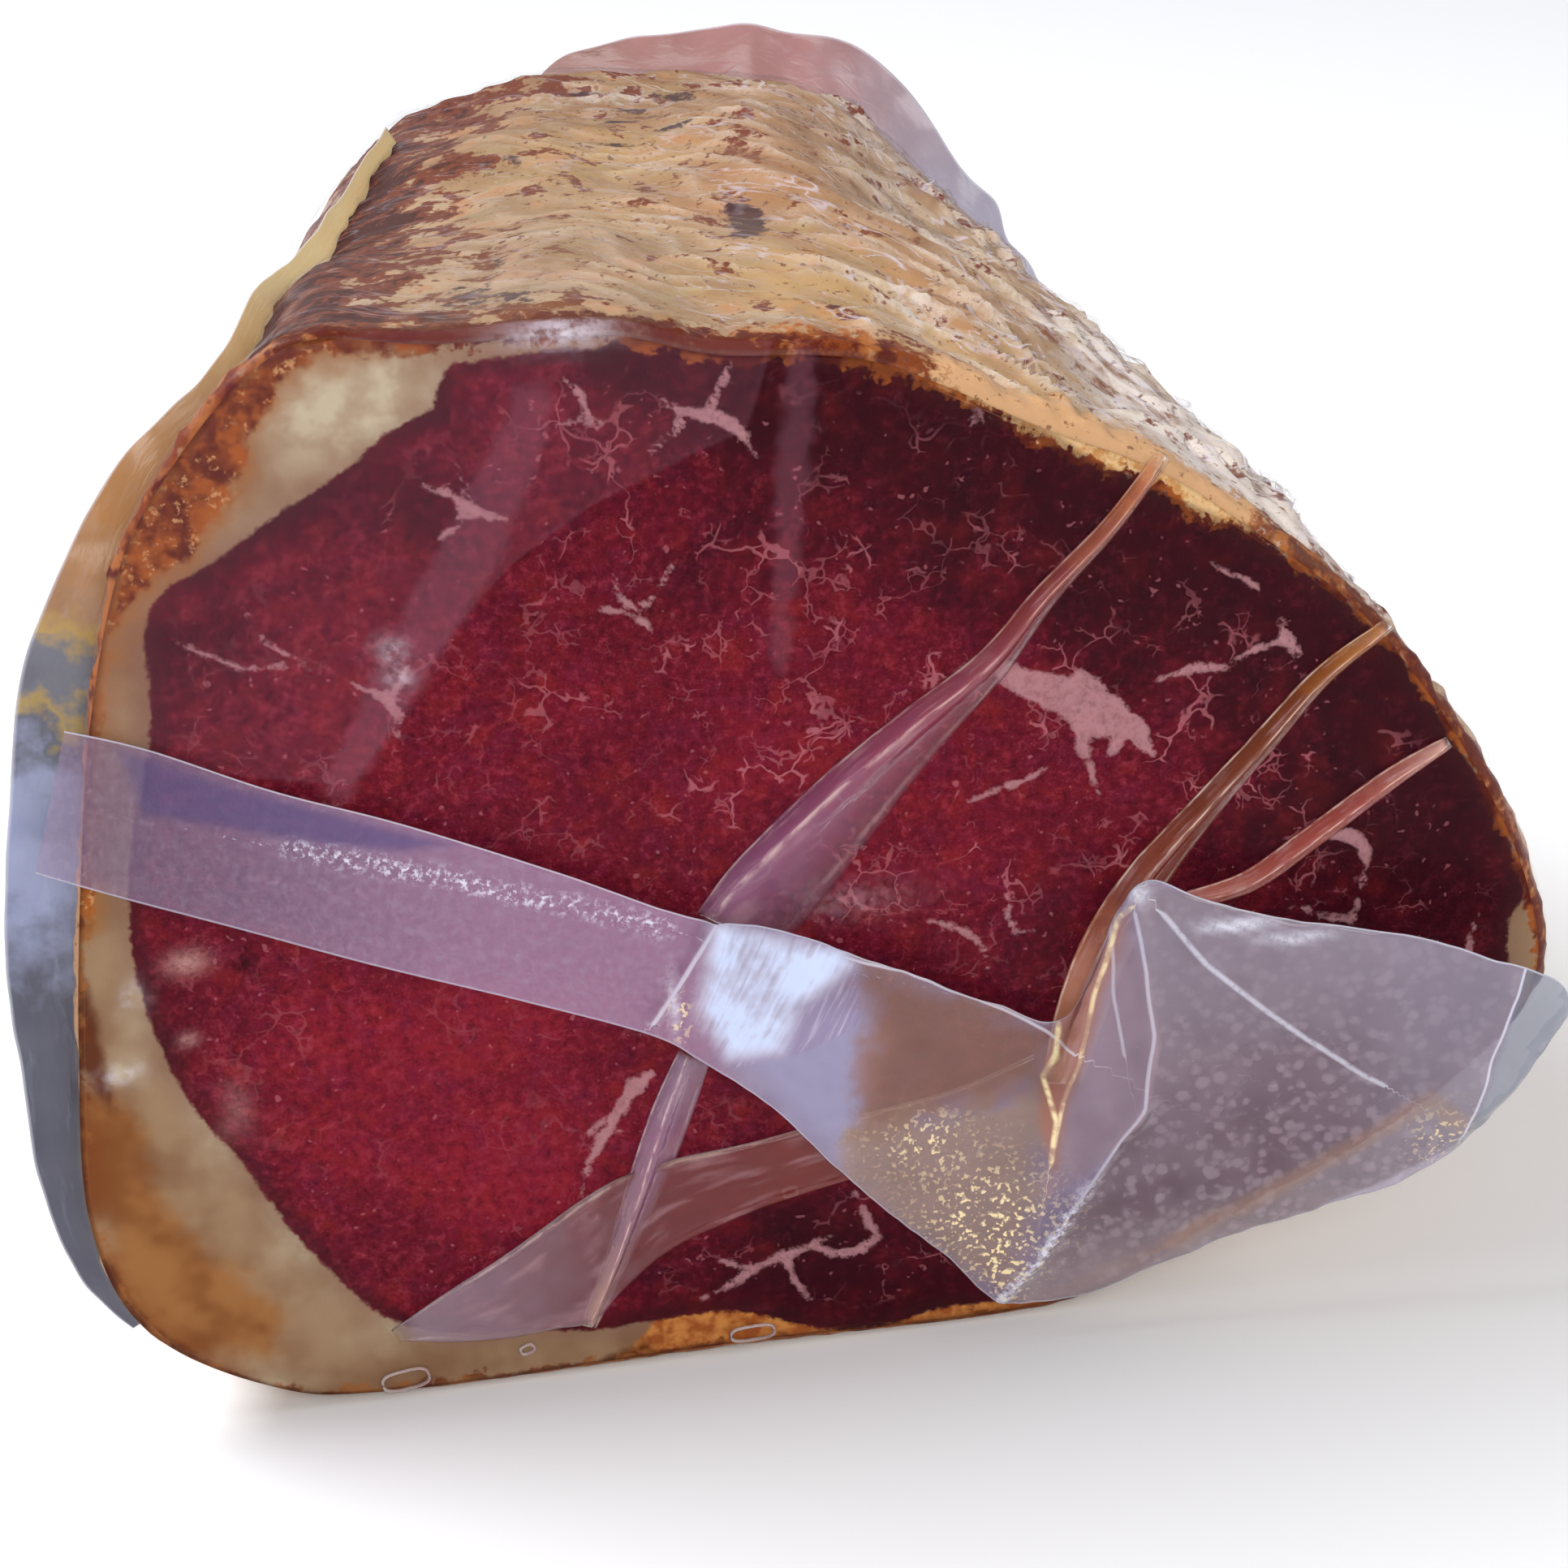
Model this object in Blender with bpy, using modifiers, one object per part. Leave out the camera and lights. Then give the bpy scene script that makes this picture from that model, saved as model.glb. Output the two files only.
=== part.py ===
# Vacuum-packed block of cecina (cured beef), lying on its flat underside.
# The cut face looks towards -Y, the block runs back along +Y and +Z is up.
# The clear bag clings to the block, so the sealed bag is one solid out to its film. The loose
# film round it, which is folded double, is a thin solid for each margin.

import math

import bmesh
import bpy
from mathutils import Vector, noise

MM = 0.001

# The block
BLOCK_LENGTH = 150 * MM
BACK_DOME = 17 * MM
FACE_CENTRE = (4 * MM, 76 * MM)
BACK_CENTRE = (-3 * MM, 72 * MM)
RIM_RADIUS = 2.5 * MM
TAPER_POWER = 1.15
TAPER_SWAY = 0.5
FACE_HOLLOW = 1.2 * MM
DOME_SQUARENESS = 0.7

# Outlines of the cut face and of the back end, clockwise from the top left corner, in mm: x, z
FACE_OUTLINE = (
    (-55, 164), (-41, 162), (-19, 161), (-5, 157), (15, 154), (38, 142), (52, 135),
    (65, 125), (82, 109), (97, 86), (107, 62), (107, 44), (89, 26), (62, 12), (36, 0),
    (-14, 0), (-64, 0), (-82, 4), (-98, 17), (-103, 37), (-100, 66), (-95, 95),
    (-90, 117), (-83, 137), (-74, 150), (-64, 160),
)
BACK_OUTLINE = (
    (-37, 149), (-14, 151), (8, 150), (24, 146), (38, 137), (51, 122), (62, 104),
    (71, 80), (74, 58), (68, 34), (52, 12), (30, 0), (-30, 0), (-58, 4), (-72, 20),
    (-78, 45), (-77, 75), (-69, 105), (-57, 130), (-46, 144),
)

# Shrunken relief of the rind
LUMP_HEIGHT = 2.8 * MM
LUMP_SPACING = 30 * MM
WRINKLE_HEIGHT = 0.9 * MM
WRINKLE_SPACING = 15 * MM
WRINKLE_SLANT = 0.5
WRINKLE_BEND = 1.4
RELIEF_START = 9 * MM
RELIEF_FLOOR = 14 * MM

# Mesh density
ROUND_STEPS = 90
DEPTH_STEPS = 24
FACE_RINGS = 6
DOME_STEPS = 5
FIRST_RING = 0.35
RIM_TURNS = (0, 35, 65, 90)

# Film
FILM_THICKNESS = 0.8 * MM
FILM_GAP = 0.5 * MM

# Pleats where the film stands up from the cut face: (x, z, radius) in mm along each one
PLEATS = {
    "long_pleat": ((52, 135, 1.0), (45, 126, 1.7), (36, 117, 2.0), (28, 108, 2.4), (17, 100, 2.9),
                   (8, 93, 3.3), (0, 86, 3.2), (-7, 80, 2.4), (-12, 75, 1.0)),
    "right_pleat": ((82, 107, 0.9), (74, 101, 1.7), (66, 92, 1.9), (57, 82, 2.1), (49, 73, 2.3),
                    (43, 63, 2.2), (39, 52, 1.9), (36, 43, 0.9)),
    "side_pleat": ((92, 88, 0.9), (84, 84, 1.6), (73, 76, 1.8), (64, 70, 1.8), (55, 69, 0.9)),
    "lower_pleat": ((-17, 51, 0.9), (-20, 44, 2.0), (-24, 33, 2.2), (-29, 20, 2.0), (-34, 9, 0.9)),
}
PLEAT_SINK = 0.5 * MM

# The film of the bag's welded mouth, one sheet from the left rim across the face, over a twist at
# (-8, 66) and a ridge at (46, 75), to the loose tail that stands off the lower right corner. Each section
# has (x, z) of its upper edge and of its lower edge, then the height of both edges off the face, in mm.
MOUTH_FILM = (
    ((-92, 114), (-99, 94), 1.2, 1.2), ((-82, 110), (-89, 89), 1.2, 1.2), ((-67, 102), (-74, 82), 1.2, 1.2),
    ((-51, 95), (-57, 74), 1.3, 1.3), ((-31, 85), (-38, 66), 1.6, 1.8), ((-15, 77), (-21, 59), 3.0, 3.4),
    ((-3, 74), (-14, 54), 4.2, 4.4), ((8, 68), (-5, 45), 3.8, 4.0), ((17, 63), (3, 34), 3.4, 3.8),
    ((27, 57), (11, 24), 3.2, 3.8), ((37, 54), (19, 15), 4.0, 4.0), ((46, 75), (26, 7), 6.6, 4.6),
    ((55, 73), (36, 6), 7.8, 5.2), ((66, 69), (48, 10), 9.2, 5.8), ((80, 66), (62, 15), 11.2, 6.6),
    ((93, 62), (77, 19), 13.0, 7.6), ((104, 57), (91, 25), 14.4, 8.8), ((107, 50), (97, 30), 12.4, 8.0),
)
MOUTH_BOW = 0.6

# The film webs left where the doubled bag runs on past the block. Each section has the direction from the
# block's middle in degrees, the depth behind the face in mm and the width of the web in mm.
SIDE_MARGIN = (
    (-149, 6, 3.5), (-156, 6, 6), (-168, 6, 8.5), (-180, 6, 9.5), (169, 6, 10), (158, 6, 10),
    (151, 7, 8.5), (144, 10, 6), (138, 16, 4), (134, 25, 3), (130, 40, 2.6), (128, 58, 2.2),
    (125, 80, 2), (122, 105, 1.6), (118, 135, 1.2),
)
END_MARGIN = (
    (100, 153, 1), (96, 154, 2), (89, 154, 4.5), (80, 154, 6.5), (68, 154, 8.5), (56, 154, 9.5),
    (44, 154, 8.5), (32, 154, 6.5), (20, 154, 4.5), (10, 153, 2.5),
)
END_MARGIN_LEAN = 0.55


def clear_scene():
    for thing in list(bpy.data.objects):
        bpy.data.objects.remove(thing)


def spline_point(points, position, closed):
    """A point on the smooth curve through the points, at a position counted in points."""
    count = len(points)
    index = math.floor(position)
    share = position - index

    def corner(step):
        place = index + step
        place = place % count if closed else min(max(place, 0), count - 1)
        return points[place]

    before, start, end, after = (corner(step) for step in (-1, 0, 1, 2))
    found = []
    for a, b, c, d in zip(before, start, end, after):
        bend = (2 * a - 5 * b + 4 * c - d) * share**2 + (3 * b - a - 3 * c + d) * share**3
        found.append(b + 0.5 * ((c - a) * share + bend))
    return found


def radius_round(outline, centre):
    """A function giving how far the smooth outline lies from its centre at an angle."""
    fine = 24
    places = [Vector(spline_point(outline, n / fine, True)) * MM for n in range(len(outline) * fine)]
    spokes = [place - Vector(centre) for place in places]
    polar = sorted((math.atan2(spoke.y, spoke.x), spoke.length) for spoke in spokes)
    polar = [(polar[-1][0] - math.tau, polar[-1][1])] + polar + [(polar[0][0] + math.tau, polar[0][1])]

    def radius(angle):
        upper = next(n for n, (turn, _) in enumerate(polar) if turn > angle)
        (low, near), (high, far) = polar[upper - 1], polar[upper]
        return near + (far - near) * (angle - low) / (high - low)

    return radius


face_radius = radius_round(FACE_OUTLINE, FACE_CENTRE)
back_radius = radius_round(BACK_OUTLINE, BACK_CENTRE)


def ramp(value, start, end):
    """How far a value has gone from start to end, from 0 to 1."""
    return min(max((value - start) / (end - start), 0), 1)


def rind_relief(place):
    """How far the shrunken rind stands out: broad lumps, and slanting wrinkles on the right shoulder."""
    lumps = noise.noise(place / LUMP_SPACING) * LUMP_HEIGHT
    along = (place.y + (place.x - place.z) * WRINKLE_SLANT) / WRINKLE_SPACING
    bend = noise.noise(place / (2 * WRINKLE_SPACING)) * WRINKLE_BEND
    shoulder = ramp(place.x, -15 * MM, 35 * MM) * ramp(place.z, 40 * MM, 80 * MM)
    wrinkles = math.sin(math.tau * (along + bend)) * WRINKLE_HEIGHT * shoulder
    return (lumps + wrinkles) * ramp(place.z, 0, RELIEF_FLOOR) * ramp(place.y, 0, RELIEF_START)


def block_place(angle, depth, grow=0, scale=1):
    """A place on the block: at an angle round its middle and a depth behind the face, moved out by grow."""
    share = min(depth / BLOCK_LENGTH, 1) ** (TAPER_POWER + TAPER_SWAY * math.cos(angle))
    centre_x = FACE_CENTRE[0] + (BACK_CENTRE[0] - FACE_CENTRE[0]) * share
    centre_z = FACE_CENTRE[1] + (BACK_CENTRE[1] - FACE_CENTRE[1]) * share
    near = face_radius(angle)
    radius = (near + (back_radius(angle) - near) * share + grow) * scale
    place = Vector((centre_x + math.cos(angle) * radius, depth, centre_z + math.sin(angle) * radius))
    radius += rind_relief(place) * scale
    return Vector((centre_x + math.cos(angle) * radius, depth, max(centre_z + math.sin(angle) * radius, 0)))


def dome_place(angle, turn, grow=0):
    """A place on the domed back end: turn runs from 0 at its rim to a quarter turn at its middle."""
    depth = BLOCK_LENGTH + BACK_DOME * math.sin(turn)
    return block_place(angle, depth, grow, math.cos(turn) ** DOME_SQUARENESS)


def loft(mesh, rings):
    """Joins rings of places with faces, one ring to the next, and closes both ends."""
    made = [[mesh.verts.new(place) for place in ring] for ring in rings]
    for first, second in zip(made, made[1:]):
        for n, vertex in enumerate(first):
            following = (n + 1) % len(first)
            mesh.faces.new((vertex, first[following], second[following], second[n]))
    mesh.faces.new(made[0])
    mesh.faces.new(made[-1])
    bmesh.ops.recalc_face_normals(mesh, faces=mesh.faces)


def block_mesh():
    """The sealed bag on its block: a loft from the cut face to the smaller back end, which is domed."""
    angles = [-math.pi + math.tau * n / ROUND_STEPS for n in range(ROUND_STEPS)]
    rings = []
    for step in range(FACE_RINGS):
        scale = (step + FIRST_RING) / FACE_RINGS
        hollow = Vector((0, FACE_HOLLOW * (1 - scale) ** 0.5 * (1 - scale**4), 0))
        rings.append([block_place(angle, 0, -RIM_RADIUS, scale) + hollow for angle in angles])
    for turn in RIM_TURNS:
        depth = RIM_RADIUS * (1 - math.cos(math.radians(turn)))
        inset = RIM_RADIUS * (1 - math.sin(math.radians(turn)))
        rings.append([block_place(angle, depth, -inset) for angle in angles])
    for step in range(1, DEPTH_STEPS + 1):
        depth = RIM_RADIUS + (BLOCK_LENGTH - RIM_RADIUS) * step / DEPTH_STEPS
        rings.append([block_place(angle, depth) for angle in angles])
    for step in range(1, DOME_STEPS + 1):
        turn = math.pi / 2 * step / (DOME_STEPS + FIRST_RING)
        rings.append([dome_place(angle, turn) for angle in angles])
    mesh = bmesh.new()
    loft(mesh, rings)
    data = bpy.data.meshes.new("bag_body")
    mesh.to_mesh(data)
    mesh.free()
    return data


def finish(name, base_color, roughness):
    material = bpy.data.materials.new(name)
    material.use_nodes = True
    shader = material.node_tree.nodes["Principled BSDF"]
    shader.inputs["Base Color"].default_value = (*base_color, 1)
    shader.inputs["Roughness"].default_value = roughness
    shader.inputs["Metallic"].default_value = 0
    return material


def add_object(name, data, material, collection):
    thing = bpy.data.objects.new(name, data)
    if not data.materials:
        data.materials.append(material)
    collection.objects.link(thing)
    return thing


def as_mesh_object(thing, collection):
    """The evaluated mesh of a curve as an object of its own, with its caps welded."""
    graph = bpy.context.evaluated_depsgraph_get()
    data = bpy.data.meshes.new_from_object(thing.evaluated_get(graph))
    mesh = bmesh.new()
    mesh.from_mesh(data)
    bmesh.ops.remove_doubles(mesh, verts=mesh.verts, dist=0.01 * MM)
    mesh.to_mesh(data)
    mesh.free()
    made = bpy.data.objects.new(thing.name + "_solid", data)
    made.matrix_world = thing.matrix_world
    collection.objects.link(made)
    bpy.data.objects.remove(thing)
    return made


def add_pleat(name, route, collection):
    """A rounded ridge of film, half sunk in the face so that it joins the bag."""
    curve = bpy.data.curves.new(name, "CURVE")
    curve.dimensions = "3D"
    curve.bevel_depth = 1 * MM
    curve.bevel_resolution = 1
    curve.use_fill_caps = True
    line = curve.splines.new("POLY")
    steps = 2 * (len(route) - 1)
    line.points.add(steps)
    for n in range(steps + 1):
        x, z, radius = spline_point(route, n / 2, False)
        line.points[n].co = (x * MM, PLEAT_SINK, z * MM, 1)
        line.points[n].radius = radius
    thing = bpy.data.objects.new(name, curve)
    collection.objects.link(thing)
    bpy.context.view_layer.update()
    return as_mesh_object(thing, collection)


def join_pleats(body, pleats):
    """Joins the pleats to the sealed bag and takes away their own objects."""
    union = body.modifiers.new("pleats", "BOOLEAN")
    union.operation = "UNION"
    union.operand_type = "COLLECTION"
    union.collection = pleats
    union.solver = "MANIFOLD"
    graph = bpy.context.evaluated_depsgraph_get()
    joined = bpy.data.meshes.new_from_object(body.evaluated_get(graph))
    body.modifiers.clear()
    body.data = joined
    for thing in list(pleats.objects):
        bpy.data.objects.remove(thing)
    bpy.data.collections.remove(pleats)


def film_sheet(name, rows, columns, place_at, material, collection):
    """A sheet of doubled film: a grid laid out by place_at, with Solidify for its thickness."""
    mesh = bmesh.new()
    bmesh.ops.create_grid(mesh, x_segments=rows, y_segments=columns, size=0.5)
    for vertex in mesh.verts:
        vertex.co = place_at(vertex.co.x + 0.5, vertex.co.y + 0.5)
    data = bpy.data.meshes.new(name)
    mesh.to_mesh(data)
    mesh.free()
    sheet = add_object(name, data, material, collection)
    thickness = sheet.modifiers.new("thickness", "SOLIDIFY")
    thickness.thickness = FILM_THICKNESS
    thickness.offset = 0
    return sheet


def section_at(sections, along):
    """The numbers of a sheet's sections, read off a smooth curve: along runs from 0 to 1."""
    return spline_point(sections, along * (len(sections) - 1), False)


def mouth_place(along, side):
    """A place on the mouth film: along runs from the left rim to the free end, side down across it."""
    sections = [(*upper, *lower, height_1, height_2) for upper, lower, height_1, height_2 in MOUTH_FILM]
    x1, z1, x2, z2, height_1, height_2 = section_at(sections, along)
    bow = MOUTH_BOW * math.sin(math.pi * side) * (1 + 3 * max(0, along - 0.6))
    height = height_1 + (height_2 - height_1) * side + bow
    return Vector((x1 + (x2 - x1) * side, -height, z1 + (z2 - z1) * side)) * MM


def side_margin_place(along, side):
    """A place on the web beside the left rim: side runs from its root to its free edge."""
    angle, depth, width = section_at(unrolled(SIDE_MARGIN), along)
    turn = math.remainder(math.radians(angle), math.tau)
    root = FILM_GAP + FILM_THICKNESS / 2
    return block_place(turn, depth * MM, root + width * MM * side)


def end_margin_place(along, side):
    """A place on the web behind the back end, which leans back."""
    angle, depth, width = section_at(END_MARGIN, along)
    turn = math.radians(angle)
    root = dome_place(turn, math.asin((depth * MM - BLOCK_LENGTH) / BACK_DOME), FILM_GAP + FILM_THICKNESS)
    outward = Vector((math.cos(turn), END_MARGIN_LEAN, math.sin(turn))).normalized()
    return root + outward * width * MM * side


def unrolled(sections):
    """The sections with their angles running on past 180 degrees, so that a curve has no jump."""
    return [(angle if angle < 0 else angle - 360, *rest) for angle, *rest in sections]


def move_origin_below_the_middle(things):
    """Puts the origin on the floor, under the middle of the whole pack."""
    graph = bpy.context.evaluated_depsgraph_get()
    corners = [thing.evaluated_get(graph).matrix_world @ Vector(corner)
               for thing in things for corner in thing.evaluated_get(graph).bound_box]
    low = Vector(min(corner[axis] for corner in corners) for axis in range(3))
    high = Vector(max(corner[axis] for corner in corners) for axis in range(3))
    shift = Vector((-(low.x + high.x) / 2, -(low.y + high.y) / 2, -low.z))
    for thing in things:
        thing.location = thing.location + shift


clear_scene()
pack = bpy.data.collections.new("cecina_pack")
bpy.context.scene.collection.children.link(pack)
pleats = bpy.data.collections.new("pleats")
bpy.context.scene.collection.children.link(pleats)

meat = finish("packed_meat", (0.33, 0.05, 0.06), 0.35)
film = finish("bag_film", (0.72, 0.70, 0.78), 0.15)

body = add_object("bag_body", block_mesh(), meat, pack)
for pleat_name, pleat_route in PLEATS.items():
    add_pleat(pleat_name, pleat_route, pleats)
join_pleats(body, pleats)

film_sheet("mouth_film", 62, 9, mouth_place, film, pack)
film_sheet("side_margin", 48, 2, side_margin_place, film, pack)
film_sheet("end_margin", 24, 4, end_margin_place, film, pack)

move_origin_below_the_middle(list(pack.objects))
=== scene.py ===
import math

import bmesh
import bpy
import numpy as np
from mathutils import Matrix, Vector, noise


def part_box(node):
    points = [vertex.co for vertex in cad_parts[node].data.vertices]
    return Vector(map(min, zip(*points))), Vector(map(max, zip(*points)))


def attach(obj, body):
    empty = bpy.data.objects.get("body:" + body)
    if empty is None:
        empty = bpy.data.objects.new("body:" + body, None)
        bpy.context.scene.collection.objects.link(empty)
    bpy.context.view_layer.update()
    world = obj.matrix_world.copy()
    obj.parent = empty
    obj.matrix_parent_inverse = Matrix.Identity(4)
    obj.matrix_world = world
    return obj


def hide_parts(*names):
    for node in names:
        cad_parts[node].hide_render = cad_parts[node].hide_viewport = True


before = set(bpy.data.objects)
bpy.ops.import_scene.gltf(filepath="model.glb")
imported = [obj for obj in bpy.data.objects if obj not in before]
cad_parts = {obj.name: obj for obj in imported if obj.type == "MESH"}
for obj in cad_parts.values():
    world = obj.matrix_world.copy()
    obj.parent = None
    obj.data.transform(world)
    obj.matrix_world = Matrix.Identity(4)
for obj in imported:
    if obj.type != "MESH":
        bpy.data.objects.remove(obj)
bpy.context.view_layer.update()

# Cut meat
# A half piece of cured beef, cut straight across: dark red lean with white marbling, and a wedge of cream fat
# on the left that turns amber towards the rind. It is one body, flat on its cut face and on its underside.
MM = 0.001
BLOCK_LENGTH = 150 * MM
BACK_DOME = 17 * MM
DOME_SQUARENESS = 0.7
FACE_CENTRE = (4 * MM, 76 * MM)
BACK_CENTRE = (-3 * MM, 72 * MM)
TAPER_POWER = 1.15
TAPER_SWAY = 0.5
RIM_RADIUS = 2.5 * MM
FACE_HOLLOW = 1.2 * MM
LUMP_HEIGHT = 2.8 * MM
LUMP_SPACING = 30 * MM
WRINKLE_HEIGHT = 0.9 * MM
WRINKLE_SPACING = 15 * MM
WRINKLE_SLANT = 0.5
WRINKLE_BEND = 1.4
RELIEF_START = 9 * MM
RELIEF_FLOOR = 14 * MM
FACE_OUTLINE = (
    (-55, 164), (-41, 162), (-19, 161), (-5, 157), (15, 154), (38, 142), (52, 135),
    (65, 125), (82, 109), (97, 86), (107, 62), (107, 44), (89, 26), (62, 12), (36, 0),
    (-14, 0), (-64, 0), (-82, 4), (-98, 17), (-103, 37), (-100, 66), (-95, 95),
    (-90, 117), (-83, 137), (-74, 150), (-64, 160),
)
BACK_OUTLINE = (
    (-37, 149), (-14, 151), (8, 150), (24, 146), (38, 137), (51, 122), (62, 104),
    (71, 80), (74, 58), (68, 34), (52, 12), (30, 0), (-30, 0), (-58, 4), (-72, 20),
    (-78, 45), (-77, 75), (-69, 105), (-57, 130), (-46, 144),
)
LEAN_OUTLINE = (
    (-20, 157.5), (-24, 158), (-33, 157.5), (-38, 157), (-40, 154), (-41, 151.5), (-46, 149.5), (-53, 144.5),
    (-62, 139.5), (-70, 134.5), (-77, 131), (-80, 126), (-80.5, 118), (-82, 110), (-86, 97), (-88.5, 84),
    (-88.5, 73), (-86.5, 61), (-83, 51), (-79, 44), (-75, 34), (-70, 25), (-63, 15), (-54, 10.5), (-42, 9),
    (-33, 7.5), (-22, 8), (-12, 7.5), (-5, 4.5), (2, 2), (10, 1.6), (18, 3.2), (30, 3.6), (45, 8), (62, 15.5),
    (80, 24), (94, 35), (102, 46), (102, 58), (104, 64), (99, 77), (92, 90), (84, 103), (73, 115), (62, 124),
    (52, 130), (44, 135), (35, 141.5), (26, 146), (14, 152.5), (2, 155.5), (-8, 157), (-14, 159),
)
RIM_LIP = 2.0 * MM


def curve_at(points, along, closed=False):
    """Places on a smooth curve through the points, along it counted in points."""
    knots = np.asarray(points, float)
    count = len(knots)
    first = np.floor(along).astype(int)
    if not closed:
        first = np.clip(first, 0, count - 2)
    share = (along - first)[..., None]
    a, b, c, d = [knots[(first + step) % count if closed else np.clip(first + step, 0, count - 1)]
                  for step in (-1, 0, 1, 2)]
    bend = (2 * a - 5 * b + 4 * c - d) * share**2 + (3 * b - a - 3 * c + d) * share**3
    return b + 0.5 * ((c - a) * share + bend)


def loop_through(points, steps):
    """Places round a smooth closed curve, so many steps from each point to the next."""
    return curve_at(points, np.arange(len(points) * steps) / steps, closed=True)


def spokes_of(outline, centre):
    """The directions of an outline's places from its centre, and how far they lie."""
    spokes = loop_through(outline, 24) * MM - centre
    return np.arctan2(spokes[:, 1], spokes[:, 0]), np.hypot(spokes[:, 0], spokes[:, 1])


FACE_SPOKES = spokes_of(FACE_OUTLINE, FACE_CENTRE)
BACK_SPOKES = spokes_of(BACK_OUTLINE, BACK_CENTRE)


def noise_at(places, spacing):
    """Smooth noise, from about -0.5 to 0.5, at each place."""
    flat = (places / spacing).reshape(-1, 3)
    return np.array([noise.noise(place) for place in flat]).reshape(places.shape[:-1])


def ramp(value, start, end):
    return np.clip((value - start) / (end - start), 0, 1)


def rind_relief(places):
    """How far the shrunken rind stands out: broad lumps, and slanting wrinkles on the right shoulder."""
    x, y, z = np.moveaxis(places, -1, 0)
    lumps = noise_at(places, LUMP_SPACING) * LUMP_HEIGHT
    along = (y + (x - z) * WRINKLE_SLANT) / WRINKLE_SPACING + noise_at(places, 2 * WRINKLE_SPACING) * WRINKLE_BEND
    shoulder = ramp(x, -15 * MM, 35 * MM) * ramp(z, 40 * MM, 80 * MM)
    wrinkles = np.sin(math.tau * along) * WRINKLE_HEIGHT * shoulder
    return (lumps + wrinkles) * ramp(z, 0, RELIEF_FLOOR) * ramp(y, 0, RELIEF_START)


def block_places(turn, depth, grow=0.0, scale=1.0):
    """Places on the block, at angles round its middle and depths behind the face, moved out by grow."""
    turn, depth, grow, scale = np.broadcast_arrays(turn, depth, grow, scale)
    share = np.clip(depth / BLOCK_LENGTH, 0, 1) ** (TAPER_POWER + TAPER_SWAY * np.cos(turn))
    centre_x = FACE_CENTRE[0] + (BACK_CENTRE[0] - FACE_CENTRE[0]) * share
    centre_z = FACE_CENTRE[1] + (BACK_CENTRE[1] - FACE_CENTRE[1]) * share
    near = np.interp(turn, *FACE_SPOKES, period=math.tau)
    far = np.interp(turn, *BACK_SPOKES, period=math.tau)
    radius = (near + (far - near) * share + grow) * scale
    plain = np.stack([centre_x + np.cos(turn) * radius, depth, centre_z + np.sin(turn) * radius], -1)
    radius = radius + rind_relief(plain) * scale
    return np.stack([centre_x + np.cos(turn) * radius, depth, centre_z + np.sin(turn) * radius], -1)


def hollow_at(x, z):
    """How far the face is drawn in at a place, which is nothing at the rim and most in the middle."""
    turn = np.arctan2(z - FACE_CENTRE[1], x - FACE_CENTRE[0])
    reach = np.interp(turn, *FACE_SPOKES, period=math.tau) - RIM_RADIUS
    scale = np.clip(np.hypot(x - FACE_CENTRE[0], z - FACE_CENTRE[1]) / reach, 0, 1)
    return FACE_HOLLOW * (1 - scale) ** 0.5 * (1 - scale**4)


def gather_at(places):
    """Ridges where the film and the rind are gathered: they run from the back left to the right front."""
    x, y, z = np.moveaxis(places, -1, 0)
    across = (x * 0.41 + y * 0.82 - z * 0.41) / (8 * MM) + noise_at(places, 26 * MM) * 2.4
    ridge = (1 - np.abs(np.sin(math.pi * across))) ** 1.6
    patchy = np.clip(noise_at(places, 14 * MM) * 1.8 + 0.6, 0, 1)
    right = ramp(x, -20 * MM, 35 * MM)
    return ridge * patchy * ramp(z, 55 * MM, 90 * MM) * (0.22 + 0.78 * right) * ramp(y, 2 * MM, 10 * MM)


def rows(*parts):
    """Strings together runs of (depth, grow, scale) for the rings of a skin."""
    return np.array([row for part in parts for row in part])


def dome_rows(steps, grow):
    """The rings of the domed back end, from its rim to its middle."""
    made = []
    for step in range(1, steps + 1):
        turn = math.pi / 2 * step / (steps + 0.12)
        made.append((BLOCK_LENGTH + (BACK_DOME + grow) * math.sin(turn), grow, math.cos(turn) ** DOME_SQUARENESS))
    return made


def lip_rows(first, steps, gap, inset):
    """The rings round the rim's rounding, at a gap before the face and an inset under the side."""
    quarters = [math.pi / 2 * step / steps for step in range(first, steps + 1)]
    return [((RIM_RADIUS + gap) * (1 - math.cos(quarter)) - gap, -RIM_RADIUS * (1 - math.sin(quarter)) - inset, 1)
            for quarter in quarters]


def side_rows(steps, inset):
    return [(RIM_RADIUS + (BLOCK_LENGTH - RIM_RADIUS) * step / steps, -inset, 1) for step in range(1, steps + 1)]


def skin_places(round_steps, rings):
    """Places round the block on each of the rings, and the directions outwards."""
    turns = -math.pi + math.tau * np.arange(round_steps) / round_steps
    outward = np.stack([np.cos(turns), 0 * turns, np.sin(turns)], -1)[None]
    return block_places(turns[None], rings[:, :1], rings[:, 1:2], rings[:, 2:]), outward


# The sizes above count from the floor under the cut face, and the origin is on the floor under the middle of the
# pack, so every piece is moved by the same shift.
outer = block_places(np.linspace(-math.pi, math.pi, 361)[None], np.array([[1.0], [2.5], [6.0]]) * MM)
body_low, body_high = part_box("bag_body")
SHIFT = np.array([
    (body_low[0] + body_high[0] - outer[..., 0].min() - outer[..., 0].max()) / 2,
    body_high[1] - BLOCK_LENGTH - BACK_DOME,
    0.0,
])


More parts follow.
